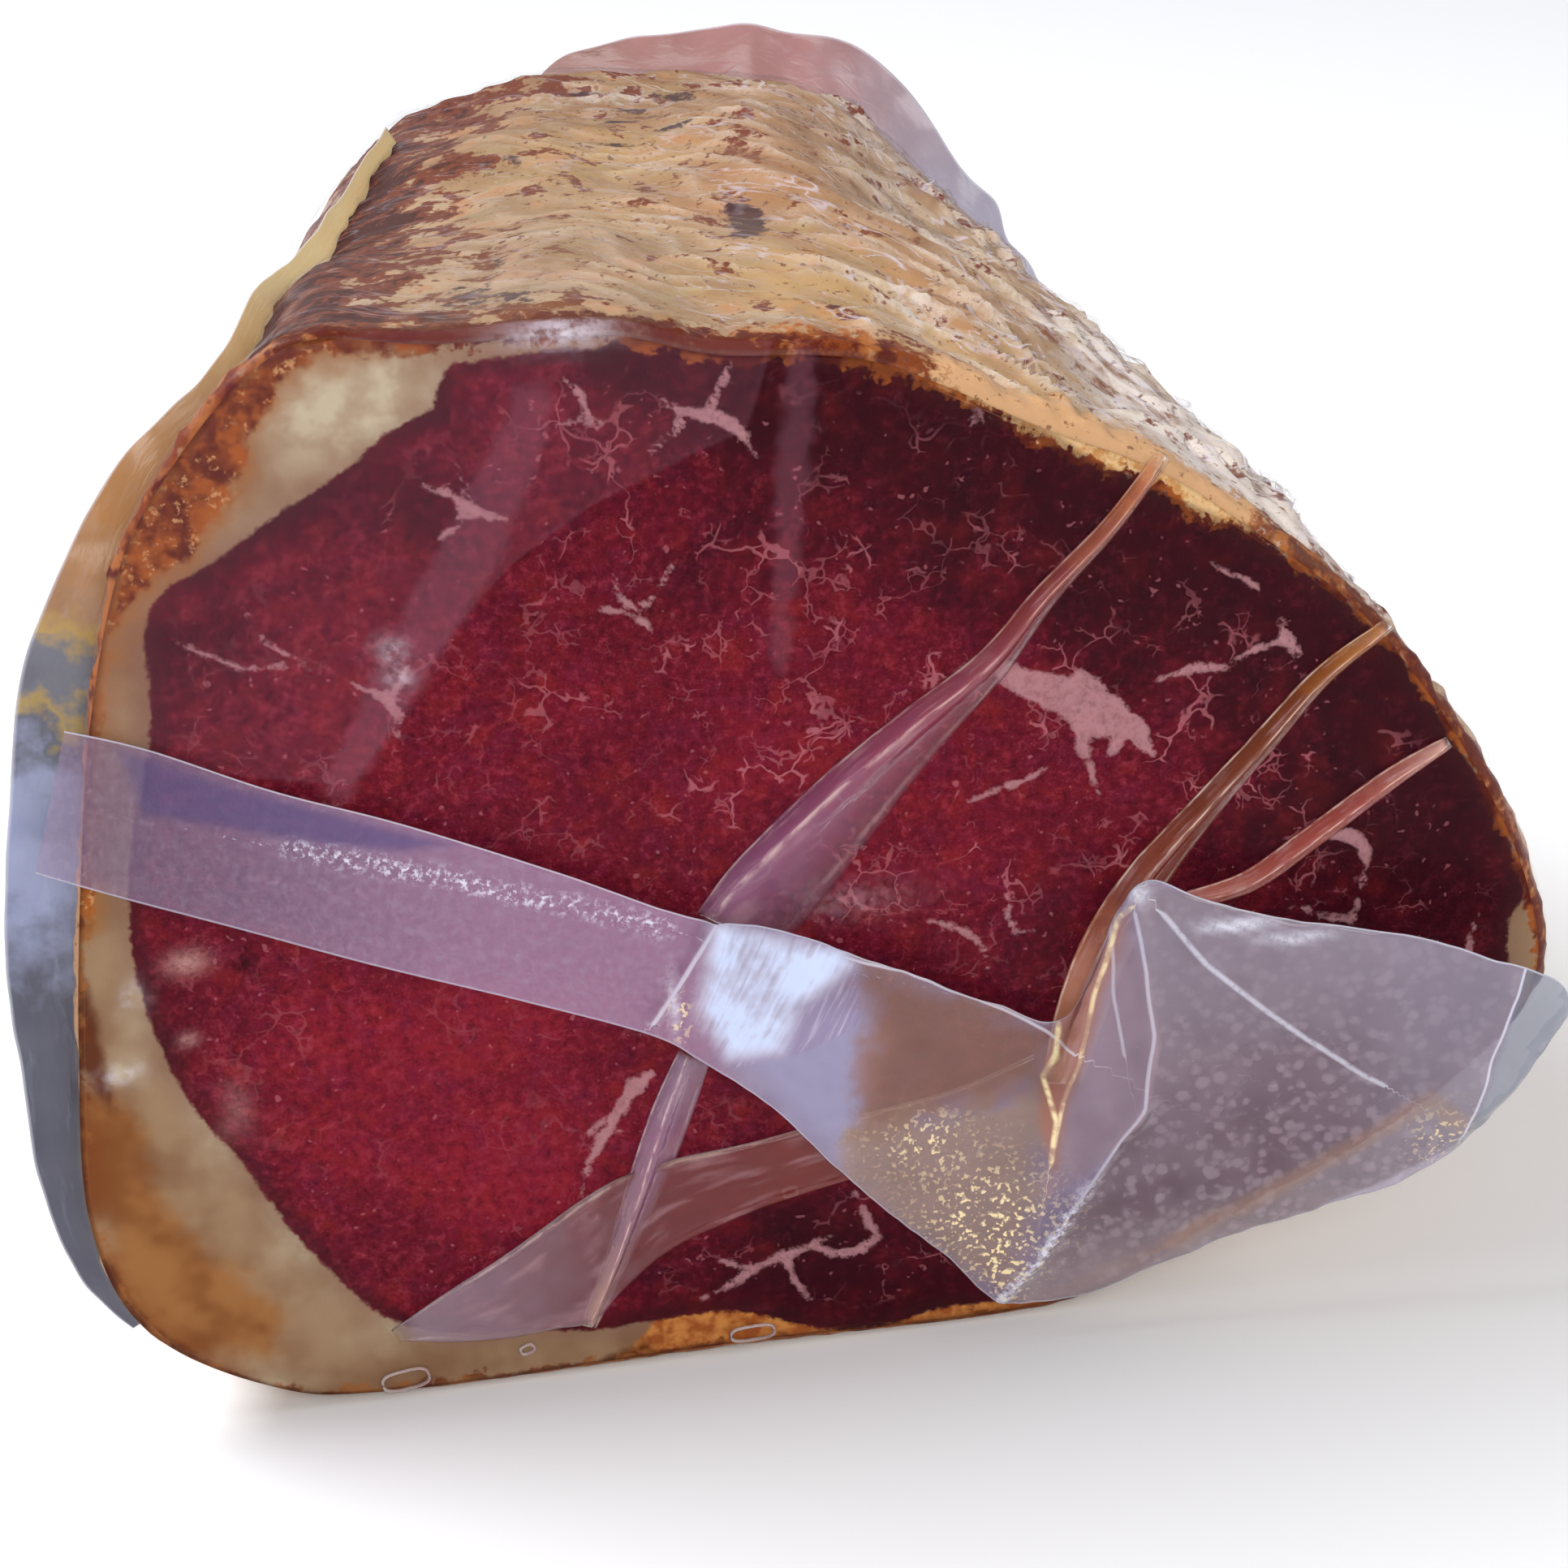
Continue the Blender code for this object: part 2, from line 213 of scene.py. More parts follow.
def add_skin(name, places):
    """A closed skin through rings of places: a sheet wrapped round, welded along its seam and filled at its ends."""
    ring_count, round_steps = places.shape[:2]
    mesh = bmesh.new()
    bmesh.ops.create_grid(mesh, x_segments=round_steps, y_segments=ring_count - 1, size=0.5)
    for vertex in mesh.verts:
        column = round((vertex.co.x + 0.5) * round_steps) % round_steps
        row = round((vertex.co.y + 0.5) * (ring_count - 1))
        vertex.co = places[row, column] + SHIFT
    bmesh.ops.remove_doubles(mesh, verts=mesh.verts, dist=1e-7)
    bmesh.ops.holes_fill(mesh, edges=[edge for edge in mesh.edges if edge.is_boundary])
    bmesh.ops.recalc_face_normals(mesh, faces=mesh.faces)
    return add_piece(name, mesh)


def add_piece(name, mesh):
    """Makes a smooth piece from a finished bmesh and lets it ride with the pack."""
    data = bpy.data.meshes.new(name)
    mesh.to_mesh(data)
    mesh.free()
    data.shade_smooth()
    thing = bpy.data.objects.new(name, data)
    bpy.context.scene.collection.objects.link(thing)
    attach(thing, "root")
    return thing


def places_of(thing):
    """The places of a piece's vertices, without the shift, in mm."""
    found = np.empty(len(thing.data.vertices) * 3)
    thing.data.vertices.foreach_get("co", found)
    return (found.reshape(-1, 3) - SHIFT) / MM


def mark(thing, name, values):
    """Keeps a number for each vertex, which the piece's material reads by name."""
    layer = thing.data.attributes.new(name, "FLOAT", "POINT")
    layer.data.foreach_set("value", np.asarray(values, np.float32))


def line_distance(places, line, half_widths=0.0):
    """How far each place on the face lies from a line, less the line's half width there."""
    line = np.asarray(line, float)
    starts, ends = line[:-1], line[1:]
    widths = np.broadcast_to(half_widths, len(line))
    best = np.full(len(places), 1e9)
    for start, end, width_1, width_2 in zip(starts, ends, widths[:-1], widths[1:]):
        run = end - start
        share = np.clip((places - start) @ run / max(run @ run, 1e-12), 0, 1)
        gap = np.linalg.norm(places - start - share[:, None] * run, axis=1)
        best = np.minimum(best, gap - width_1 - (width_2 - width_1) * share)
    return best


def line_offset(places, line):
    """How far each place lies to one side (+) or the other (-) of a line, so that a thin line stays whole."""
    line = np.asarray(line, float)
    best, side = np.full(len(places), 1e9), np.ones(len(places))
    for start, end in zip(line[:-1], line[1:]):
        gap = line_distance(places, np.array([start, end]))
        away, run = places - start, end - start
        turned = np.sign(run[0] * away[:, 1] - run[1] * away[:, 0])
        side = np.where(gap < best, turned, side)
        best = np.minimum(gap, best)
    return best * side


def depth_inside(places, outline):
    """How far each place lies inside a closed outline; it is negative outside."""
    loop = np.vstack([outline, outline[:1]]).astype(float)
    inside = np.zeros(len(places), bool)
    for (x1, z1), (x2, z2) in zip(loop[:-1], loop[1:]):
        if z1 == z2:
            continue
        spans = (z1 > places[:, 1]) != (z2 > places[:, 1])
        crossing = x1 + (places[:, 1] - z1) * (x2 - x1) / (z2 - z1)
        inside ^= spans & (places[:, 0] < crossing)
    return np.where(inside, 1, -1) * line_distance(places, loop)


def nearest_gap(places, lines):
    """How far each place lies outside the nearest of some lines of (x, z, half width)."""
    lines = [np.array(line) for line in lines]
    return np.min([line_distance(places, line[:, :2], line[:, 2]) for line in lines], axis=0)


def mark_each(thing, table, measure, places):
    """Marks a piece with one measure of its places for each named row of a table."""
    for name, row in table.items():
        mark(thing, name, measure(places, row))


def spots(places, wanted):
    """A soft sum of round spots: (x, z, half width, half height, strength)."""
    total = np.zeros(len(places))
    for x, z, half_x, half_z, strength in wanted:
        away = ((places[:, 0] - x) / half_x) ** 2 + ((places[:, 1] - z) / half_z) ** 2
        total += strength * np.exp(-away)
    return total


CUT_ROUND_STEPS = 620
CUT_RINGS = 100
WALL_DEPTHS = (0.6, 3, 12, 40, 80, 120, 140)
WALL_GROW = -RIM_LIP - 1.5 * MM
cut_scales = 0.004 + 0.996 * np.arange(CUT_RINGS) / (CUT_RINGS - 1)
cut_rings = rows([(0, -RIM_LIP, scale) for scale in cut_scales],
                 [(depth * MM, WALL_GROW, 1) for depth in WALL_DEPTHS], [(WALL_DEPTHS[-1] * MM, WALL_GROW, 0.01)])
cut_places, _ = skin_places(CUT_ROUND_STEPS, cut_rings)
cut_places[..., 2] = np.maximum(cut_places[..., 2], 1 * MM)
cut_places[:CUT_RINGS, :, 1] = hollow_at(cut_places[:CUT_RINGS, :, 0], cut_places[:CUT_RINGS, :, 2])
cut_meat = add_skin("cut_meat", cut_places)

# Fat seams in the lean: each is (x, z, half width) in mm along a line.
FAT_SEAMS = (
    ((24, 107, 0.3), (28, 108.5, 0.9), (31, 106, 1.6), (35, 103.4, 2.2), (39, 101.6, 2.9), (44, 98, 3.0),
     (48, 95.5, 1.8), (50.5, 91.5, 0.4)),
    ((38, 103, 1.0), (41, 104.6, 0.8), (43.5, 102, 0.8)),
    ((41, 98, 1.6), (41, 94, 0.9), (42, 90.5, 0.6), (43, 86, 0.2)),
    ((45, 97, 1.0), (46, 94, 0.9), (44.5, 92, 0.3)),
    ((36, 91, 0.2), (33, 89.5, 0.5), (29, 88.5, 0.3), (25, 87, 0.1)),
    ((-43, 141.5, 0.2), (-40, 140.2, 0.5), (-37.8, 138.2, 1.2), (-36.2, 136.8, 0.7), (-33, 136, 0.1)),
    ((-38, 138, 0.9), (-39.6, 135.6, 0.5), (-41.6, 134, 0.1)),
    ((-37.8, 138.4, 0.6), (-37.6, 141.5, 0.3), (-38.6, 144, 0.1)),
    ((-12, 149.6, 0.2), (-9.5, 148, 0.6), (-6.5, 147, 1.1), (-4, 146.2, 0.9), (-2.2, 144, 0.7), (-0.8, 141, 0.2)),
    ((-6.5, 147.5, 0.8), (-5, 150.5, 0.6), (-3, 154, 0.3)),
    ((-9.5, 147.5, 0.5), (-11, 145, 0.4), (-14, 143, 0.1)),
    ((-24, 154, 0.1), (-22, 151.5, 0.3), (-21.6, 148.5, 0.6), (-20.5, 146.6, 0.1)),
    ((-25.5, 148, 0.1), (-22, 148.4, 0.4), (-18.5, 147.2, 0.1)),
    ((-76, 124, 0.1), (-72, 121.5, 0.3), (-69, 119.3, 0.3), (-64, 119, 0.3), (-60, 119.2, 0.1)),
    ((-67, 127, 0.1), (-65.5, 123, 0.4), (-62.5, 120, 0.3), (-60, 118.3, 0.1)),
    ((-56, 115.6, 0.1), (-53, 114, 0.5), (-50.8, 112.4, 1.1), (-49.6, 109.6, 0.6), (-50.4, 107, 0.1)),
    ((-50.8, 112.6, 0.7), (-48.6, 115, 0.3), (-47.6, 118, 0.1)),
    ((-51, 112.6, 0.5), (-47.6, 111.6, 0.1)),
    ((-20, 126.5, 0.1), (-19.8, 123.5, 0.4), (-17.5, 121, 0.3), (-14.5, 123.5, 0.3), (-12.5, 127, 0.1)),
    ((-22.5, 122, 0.1), (-19, 121, 0.3), (-17, 119.4, 0.6), (-16, 117.8, 0.1)),
    ((68, 109.5, 0.2), (68.8, 106.5, 1.0), (70.5, 104.6, 0.6), (72, 104, 0.1)),
    ((51, 102.5, 0.2), (56, 103.8, 0.5), (61, 103.5, 0.4), (64, 105.5, 0.3), (68, 106.5, 0.6)),
    ((58.5, 119.5, 0.1), (60.5, 117.4, 0.5), (63, 116.4, 0.4), (65, 114.6, 0.1)),
    ((26.5, 147, 0.1), (28.2, 144, 0.8), (27.2, 142.2, 0.4), (31, 142.8, 0.2)),
    ((75, 75, 0.2), (78, 75.4, 1.0), (80.4, 73.6, 0.9), (81, 70.5, 0.5), (80.4, 66, 0.3), (79.2, 60, 0.3)),
    ((69, 66.5, 0.1), (72, 64.5, 0.3), (75, 62.4, 0.4), (79, 61.6, 0.3)),
    ((97.5, 60, 0.1), (96.6, 56, 0.4), (96.4, 51, 0.2)),
    ((19, 69, 0.1), (22, 68.2, 0.5), (24.6, 66, 0.5), (26.6, 64, 0.3), (27, 60, 0.1)),
    ((30, 72, 0.2), (30.2, 68, 0.4), (31, 65.6, 0.3), (33.4, 65.6, 0.1)),
    ((-17, 10.5, 0.1), (-13, 12.4, 0.5), (-8.6, 14.8, 0.8), (-4.4, 16.2, 0.8), (0, 17.6, 0.5), (3, 19, 0.1)),
    ((-15, 17.4, 0.1), (-12, 15.8, 0.4), (-9, 15, 0.5)),
    ((-4.4, 16, 0.6), (-3.4, 12, 0.5), (-1, 8, 0.2)),
    ((0, 17.4, 0.4), (2.4, 15.4, 0.6), (7, 15.6, 0.8), (9.2, 17.6, 0.7), (8, 21, 0.5), (6.4, 26, 0.2)),
    ((-33, 31, 0.2), (-31.4, 36, 0.5), (-28.4, 41, 0.9), (-25.6, 45.6, 0.7), (-23.4, 48.4, 1.4), (-21, 50, 0.4)),
    ((-31, 41.4, 0.1), (-28.6, 43, 0.5), (-26.4, 41.2, 0.2)),
)
# Dark lines in the fat next to the rind, in the same form
BROWN_LINES = (
    ((-97, 88, 0.8), (-96.6, 74, 1.3), (-96.6, 64, 1.6), (-95, 55, 0.2)),
    ((-102.6, 34, 0.4), (-100.6, 29, 1.5), (-98.6, 22, 1.2), (-95.5, 16.5, 1.0), (-89.5, 10.5, 1.0), (-82, 4, 1.6),
     (-76, 0.8, 1.2)),
    ((-31, 0, 2.4), (-26, 3, 1.2)),
)
# Soft spots of the face: (x, z, half width, half height, strength)
CUT_SPOTS = {
    "pale": (
        (-82, 77, 2.6, 1.7, 1), (-83.5, 65, 1.3, 1.0, 0.8), (-78.5, 53, 2.0, 4.0, 0.35), (-81, 49, 1.2, 2, 0.35),
    ),
    "dark": (
        (45, 132, 62, 26, 0.8), (80, 100, 34, 40, 0.75), (98, 62, 18, 40, 0.6), (8, 150, 40, 14, 0.45),
        (2, 14, 36, 13, 0.8), (60, 60, 30, 22, 0.3), (-74, 122, 9, 14, 0.55), (-60, 139, 18, 6, 0.75),
        (-87, 66, 5, 14, 0.55), (-78, 42, 5, 8, 0.3), (-41, 153, 5, 5, 0.5), (-74, 76, 1.4, 1.5, 1.0),
        (41, 99.6, 0.9, 0.8, 0.9), (16, 6, 8, 5, 0.5), (-16, 155, 9, 5, 0.6),
    ),
    "bright": (
        (-58, 50, 26, 22, 0.75), (-35, 34, 18, 14, 0.45), (-14, 103, 30, 20, 0.36), (-58, 122, 16, 14, 0.35),
        (28, 86, 30, 16, 0.5), (-30, 145, 14, 10, 0.25), (-45, 62, 22, 10, 0.35), (12, 112, 16, 8, 0.25),
    ),
    "cream": (
        (-50, 158, 9, 5, 1.0), (-55, 151, 8, 6, 0.8), (-47, 153, 8, 4, 0.6), (-67, 141.5, 7, 3, 0.35),
        (-99.5, 35, 2, 4, 0.7), (-87, 11, 6, 2.4, 0.6), (-80, 5, 5, 2, 0.5), (-72, 30, 5, 9, 0.5),
        (-83, 48, 3, 8, 0.4), (-62, 12, 7, 3, 0.5), (-91, 68, 3, 8, 0.3), (-100.4, 72, 0.9, 18, 0.9),
        (-102.6, 52, 0.9, 10, 0.8), (-93, 61, 2.6, 1.5, 0.8), (-89.4, 73, 1.2, 2.2, 0.6),
    ),
}
MARBLED_SPOTS = (
    (20, 100, 34, 26, 0.7), (-10, 112, 22, 22, 0.5), (60, 80, 26, 22, 0.5), (5, 16, 22, 10, 0.5),
    (-20, 140, 14, 12, 0.3), (45, 70, 24, 16, 0.4), (-52, 45, 26, 24, -0.2),
)
BASE_MARBLING = 0.35
# Zones of the fat: the rust-brown cut rind at the upper left, an amber pool, and the strip of rind at the bottom
FAT_ZONES = {
    "rust": (
        (-50, 166), (-60, 164), (-66, 159), (-72, 153.5), (-78, 147), (-84, 139), (-90, 128), (-94, 112),
        (-97, 100), (-99, 86), (-94.4, 86), (-92.6, 98), (-89.6, 110), (-88, 117), (-86, 124), (-82, 130),
        (-76, 134.5), (-70.5, 139.5), (-67, 144.5), (-64, 150.5), (-60.5, 156), (-56, 160), (-48, 161.6),
    ),
    "amber": (
        (-104, 60), (-95, 58), (-91.5, 52), (-91, 42), (-87, 33), (-82, 26), (-77, 18), (-80, 10), (-95, 10),
        (-106, 30),
    ),
    "bottom_rind": (
        (-25, -2), (-25, 6.5), (-21, 8.6), (-12, 8), (-5, 5.4), (2, 2.4), (10, 2), (20, 3.6), (34, 4), (60, 14),
        (62, 8), (36, -2),
    ),
}
# The width of the cut rind above the lean in mm, by its bearing from the middle of the face in degrees; the band is
# painted with rind colour and with painted shade under the rind's edge
UPPER_BEARINGS = (-30, -12, 30, 38, 44, 60, 72, 116, 124)
UPPER_WIDTHS = (0, 2.4, 2.4, 3.0, 5.2, 4.6, 3.0, 2.6, 0)

at = places_of(cut_meat)
face_at = at[:, [0, 2]]
mark(cut_meat, "lean_depth", depth_inside(face_at, loop_through(LEAN_OUTLINE, 6)))
mark(cut_meat, "rim_depth", depth_inside(face_at, loop_through(FACE_OUTLINE, 6)))
mark_each(cut_meat, {name: loop_through(zone, 4) for name, zone in FAT_ZONES.items()}, depth_inside, face_at)
mark_each(cut_meat, {"seam_gap": FAT_SEAMS, "brown_gap": BROWN_LINES}, nearest_gap, face_at)
mark_each(cut_meat, CUT_SPOTS, spots, face_at)
mark(cut_meat, "marbled", np.clip(BASE_MARBLING + spots(face_at, MARBLED_SPOTS), 0, 1))
bearing = np.degrees(np.arctan2(face_at[:, 1] - FACE_CENTRE[1] / MM, face_at[:, 0] - FACE_CENTRE[0] / MM))
mark(cut_meat, "upper", np.interp(bearing, UPPER_BEARINGS, UPPER_WIDTHS))
mark(cut_meat, "upper_right", ramp(bearing, 36, 42) * ramp(bearing, 78, 68))


def paint(red, green, blue):
    """A colour from its screen values, as the linear light that a shader takes."""
    screen = np.array([red, green, blue]) / 255
    return (*np.where(screen <= 0.04045, screen / 12.92, ((screen + 0.055) / 1.055) ** 2.4), 1)


def fill(node, inputs):
    """Gives each of these inputs of a node a value, or a link from another node's output."""
    for socket, source in inputs.items():
        if isinstance(source, Value):
            node.id_data.links.new(source.socket, node.inputs[socket])
        else:
            node.inputs[socket].default_value = source
    return node


def add_node(tree, kind, inputs, **settings):
    made = tree.nodes.new("ShaderNode" + kind)
    for setting, value in settings.items():
        setattr(made, setting, value)
    return fill(made, inputs)


class Value:
    """A node's output, reckoned with like a number: each step adds a node to the output's own tree."""

    def __init__(self, node, output=0):
        self.socket = node.outputs[output]

    def math(self, way, first, second=0.0):
        return Value(add_node(self.socket.id_data, "Math", {0: first, 1: second}, operation=way))

    def __add__(self, other):
        return self.math("ADD", self, other)

    def __radd__(self, other):
        return self.math("ADD", other, self)

    def __sub__(self, other):
        return self.math("SUBTRACT", self, other)

    def __rsub__(self, other):
        return self.math("SUBTRACT", other, self)

    def __mul__(self, other):
        return self.math("MULTIPLY", self, other)

    def __truediv__(self, other):
        return self.math("DIVIDE", self, other)

    def __rtruediv__(self, other):
        return self.math("DIVIDE", other, self)

    def __abs__(self):
        return self.math("ABSOLUTE", self)

    def most(self, other):
        return self.math("MAXIMUM", self, other)

    def least(self, other):
        return self.math("MINIMUM", self, other)

    def span(self, low, high, start=0.0, end=1.0):
        """A smooth step from start to end while the value goes from low to high."""
        inputs = {"Value": self, "From Min": low, "From Max": high, "To Min": start, "To Max": end}
        return Value(add_node(self.socket.id_data, "MapRange", inputs, interpolation_type="SMOOTHSTEP"), "Result")


def blend(share, first, second):
    """A mix of two colours; each is a value, or three screen values."""
    first, second = [paint(*colour) if isinstance(colour, tuple) else colour for colour in (first, second)]
    inputs = {0: share, 6: first, 7: second}
    return Value(add_node(share.socket.id_data, "Mix", inputs, data_type="RGBA", clamp_factor=True), 2)


def coats(colour, layers):
    """A colour with others laid over it in turn: each layer is a share and its colour."""
    for share, cover in layers:
        colour = blend(share, colour, cover)
    return colour


class Look:
    """A fresh material, with short ways to add nodes to its tree."""

    def __init__(self, name):
        self.material = bpy.data.materials.new(name)
        self.material.use_nodes = True
        self.tree = self.material.node_tree
        self.shader = self.tree.nodes["Principled BSDF"]
        self.place = self.node("TexCoord", {}, "Object")

    def node(self, kind, inputs, output=0, **settings):
        return Value(add_node(self.tree, kind, inputs, **settings), output)

    def mark(self, name):
        """What mark() kept for the piece under this name."""
        return self.node("Attribute", {}, "Fac", attribute_name=name)

    def grain(self, size, detail=3, rough=0.55):
        """Noise with features of a size in mm."""
        inputs = {"Vector": self.place, "Scale": 1 / (size * MM), "Detail": detail, "Roughness": rough}
        return self.node("TexNoise", inputs, "Fac")

    def bump(self, height, strength, depth):
        """Normals for small bumps that are so many mm deep."""
        return self.node("Bump", {"Height": height, "Strength": strength, "Distance": depth * MM})

    def show(self, whole, plain_kind, plain_colour):
        """Shows the whole look to the camera, and a plain shader to light that bounces, which is quicker."""
        seen = self.node("LightPath", {}, "Is Camera Ray")
        plain = self.node(plain_kind, {"Color": plain_colour})
        fill(self.tree.nodes["Material Output"], {"Surface": self.node("MixShader", {0: seen, 1: plain, 2: whole})})

    def surface(self, colour, rough, gloss, bumps, plain):
        """Gives a solid piece its colour, roughness, gloss and bumps, and one plain colour for bounced light."""
        inputs = {"Base Color": colour, "Roughness": rough, "Specular IOR Level": gloss, "Normal": bumps}
        fill(self.shader, inputs)
        self.show(Value(self.shader), "BsdfDiffuse", paint(*plain))


def marbling_group():
    """Short branching veins: the edges of bent cells, kept only near the cells' corners."""
    group = bpy.data.node_groups.new("marbling", "ShaderNodeTree")
    for name, kind in (("Place", "Vector"), ("Cell size", "Float"), ("Vein width", "Float"), ("Reach", "Float")):
        group.interface.new_socket(name, in_out="INPUT", socket_type="NodeSocket" + kind)
    group.interface.new_socket("Veins", in_out="OUTPUT", socket_type="NodeSocketFloat")
    start = group.nodes.new("NodeGroupInput")
    place, cell_size, vein_width, reach = [Value(start, number) for number in range(4)]

    def node(kind, inputs, output=0, **settings):
        return Value(add_node(group, kind, inputs, **settings), output)

    bent = node("TexNoise", {"Vector": place, "Scale": 260, "Detail": 2}, "Color")
    bent = node("VectorMath", {0: bent, 1: (0.5, 0.5, 0.5)}, operation="SUBTRACT")
    bent = node("VectorMath", {0: bent, "Scale": 0.0045}, operation="SCALE")
    place = node("VectorMath", {0: place, 1: bent}, operation="ADD")
    cells = {"Vector": place, "Scale": 1.0 / cell_size}
    edge = node("TexVoronoi", cells, feature="DISTANCE_TO_EDGE")
    corner = node("TexVoronoi", cells, "Distance", feature="F1")
    uneven = node("TexNoise", {"Vector": place, "Scale": 140, "Detail": 2}, "Fac")
    vein = 1.0 - (edge / (vein_width * uneven.span(0.3, 0.7, 0.25, 1.6))).span(0.4, 1.0)
    near = (corner + uneven.span(0.35, 0.7, -0.14, 0.14)).span(reach, reach + 0.1)
    fill(group.nodes.new("NodeGroupOutput"), {0: vein * near})
    return group


MARBLING = marbling_group()


def add_marbling(look, cell, width, reach):
    made = look.tree.nodes.new("ShaderNodeGroup")
    made.node_tree = MARBLING
    fill(made, {"Place": look.place, "Cell size": cell * MM, "Vein width": width, "Reach": reach})
    return Value(made, "Veins")


def cut_meat_finish():
    look = Look("cut_meat")
    broad = look.grain(14)
    middle = look.grain(7)
    fine = look.grain(1.1, 3, 0.7)
    speckle = look.grain(0.45, 2, 0.7)

    # Lean: from near black maroon to crimson
    light = look.mark("bright") - look.mark("dark")
    light = light + broad.span(0.25, 0.75, -0.34, 0.24) + fine.span(0.2, 0.8, -0.22, 0.22)
    lean = blend(light.span(-0.95, 0.05), (48, 1, 12), (92, 7, 28))
    hue = look.grain(4.5, 3, 0.65)
    fibre = look.grain(1.6, 3, 0.75)
    lean = coats(lean, (
        (light.span(0.0, 0.9), (124, 19, 38)),
        (middle.span(0.5, 0.7) * 0.25, (110, 24, 20)),
        (hue.span(0.52, 0.66, 0, 0.4), blend(light.span(-0.8, 0.3), (50, 3, 8), (134, 30, 28))),
        (hue.span(0.48, 0.36, 0, 0.45), blend(light.span(-0.8, 0.3), (34, 2, 14), (104, 18, 48))),
        (fibre.span(0.5, 0.68, 0, 0.45) * light.span(-0.8, 0.2, 0.25, 1), (150, 46, 64)),
        (fibre.span(0.48, 0.32, 0, 0.5), (48, 2, 14)),
        (speckle.span(0.56, 0.72, 0, 0.25) * light.span(-0.7, 0.1, 0.15, 1), (160, 70, 82)),
    ))

    # Veins and seams of fat
    lean_depth = look.mark("lean_depth")
    density = broad.span(0.38, 0.58, 0.4, 1.0) * look.mark("marbled")
    veins = add_marbling(look, 6.4, 0.028, 0.72) * density
    threads = add_marbling(look, 3.6, 0.036, 0.74) * 0.55
    dots = look.grain(1.3, 1).span(0.7, 0.76, 0, 0.6)
    veins = veins.most(threads * density).most(dots) * lean_depth.span(1.5, 8)
    ragged = look.grain(2.2, 3, 0.75).span(0.2, 0.8, -0.55, 0.6)
    seams = (look.mark("seam_gap") + ragged).span(-0.35, 0.35, 1, 0)
    pale = look.mark("pale") * fine.span(0.3, 0.6, 0.5, 1)
    lean = coats(lean, (
        (veins * 0.6, (186, 108, 118)),
        (seams * fine.span(0.3, 0.6, 0.55, 0.8), (184, 132, 138)),
        (pale * 0.8, (190, 140, 136)),
    ))

    # Fat: beige, cream in places, amber and rust brown next to the rind
    ragged_edge = look.grain(4, 3, 0.6).span(0.2, 0.8, -1.4, 1.4)
    fat = blend(broad.span(0.35, 0.65), (128, 94, 68), (150, 120, 92))
    cream = look.mark("cream") * hue.span(0.25, 0.6, 0.6, 1)
    amber = (look.mark("amber") + ragged_edge).span(-2.5, 3, 0, 0.9)
    amber = amber * (1.0 - cream * 0.6)
    rust = (look.mark("rust") + ragged_edge).span(-1.4, 0.2)
    glow = (look.mark("rust") + ragged_edge).span(-5, 0, 0, 0.7)
    rust_colour = blend(hue.span(0.35, 0.65), (84, 30, 8), (158, 84, 28))
    flecks = fibre.span(0.54, 0.68)
    fat = coats(fat, (
        (lean_depth.span(-4, 0, 0, 0.5), (128, 94, 80)),
        (cream, blend(middle.span(0.4, 0.6), (172, 150, 122), (194, 180, 152))),
        (amber, blend(broad.span(0.4, 0.6), (122, 70, 28), (150, 98, 50))),
        (glow, (152, 96, 44)),
    ))
    rust_colour = blend(flecks * 0.8, rust_colour, (198, 148, 98))
    bottom = look.mark("bottom_rind").span(-0.6, 0.4)
    deep = amber * (look.mark("rim_depth") + ragged_edge).span(1, 7, 0.75, 0)
    brown = (look.mark("brown_gap") + ragged_edge * 0.4).span(-0.8, 0.9, 0.9, 0)
    rim_depth = look.mark("rim_depth") + fine.span(0.2, 0.8, -0.7, 0.7)
    rim_width = rim_depth + hue.span(0.25, 0.75, -1.2, 1.2)
    rim_colour = blend(middle.span(0.4, 0.6), (98, 40, 16), (150, 92, 46))
    fat = coats(fat, (
        (rust, rust_colour),
        (bottom, blend(hue.span(0.4, 0.6), (196, 128, 66), (150, 78, 34))),
        (deep, (112, 52, 16)),
        (brown, (84, 34, 10)),
        (rim_width.span(2.0, 3.2, 0.85, 0), rim_colour),
    ))

    edge = lean_depth + fibre.span(0.2, 0.8, -0.4, 0.4)
    colour = blend(edge.span(-0.35, 0.35), fat, lean)
    above_rim = rim_width - look.mark("upper")
    # Along the top the band is dark red-brown, part rind colour and part painted shade under the rind's edge, mixed
    # with orange, and cream at the upper right.
    top_rind_and_shade = blend(middle.span(0.42, 0.56), (84, 22, 12), (150, 78, 32))
    creamy = look.mark("upper_right") * above_rim.span(-1.3, -0.7, 1, 0)
    top_rind_and_shade = blend(creamy, top_rind_and_shade, blend(fibre.span(0.35, 0.6), (190, 134, 78), (220, 182, 132)))
    near_edge = edge.span(-0.4, 0.5) * edge.span(0.8, 3.4, 1, 0)
    colour = coats(colour, (
        (above_rim.span(-0.3, 0.5, 1, 0), top_rind_and_shade),
        (near_edge * 0.5, (50, 18, 20)),
    ))
    look.surface(colour, fine.span(0.2, 0.8, 0.3, 0.5), 0.06, look.bump(fine, 0.3, 0.25), (104, 40, 44))
    return look.material


cut_meat.data.materials.append(cut_meat_finish())

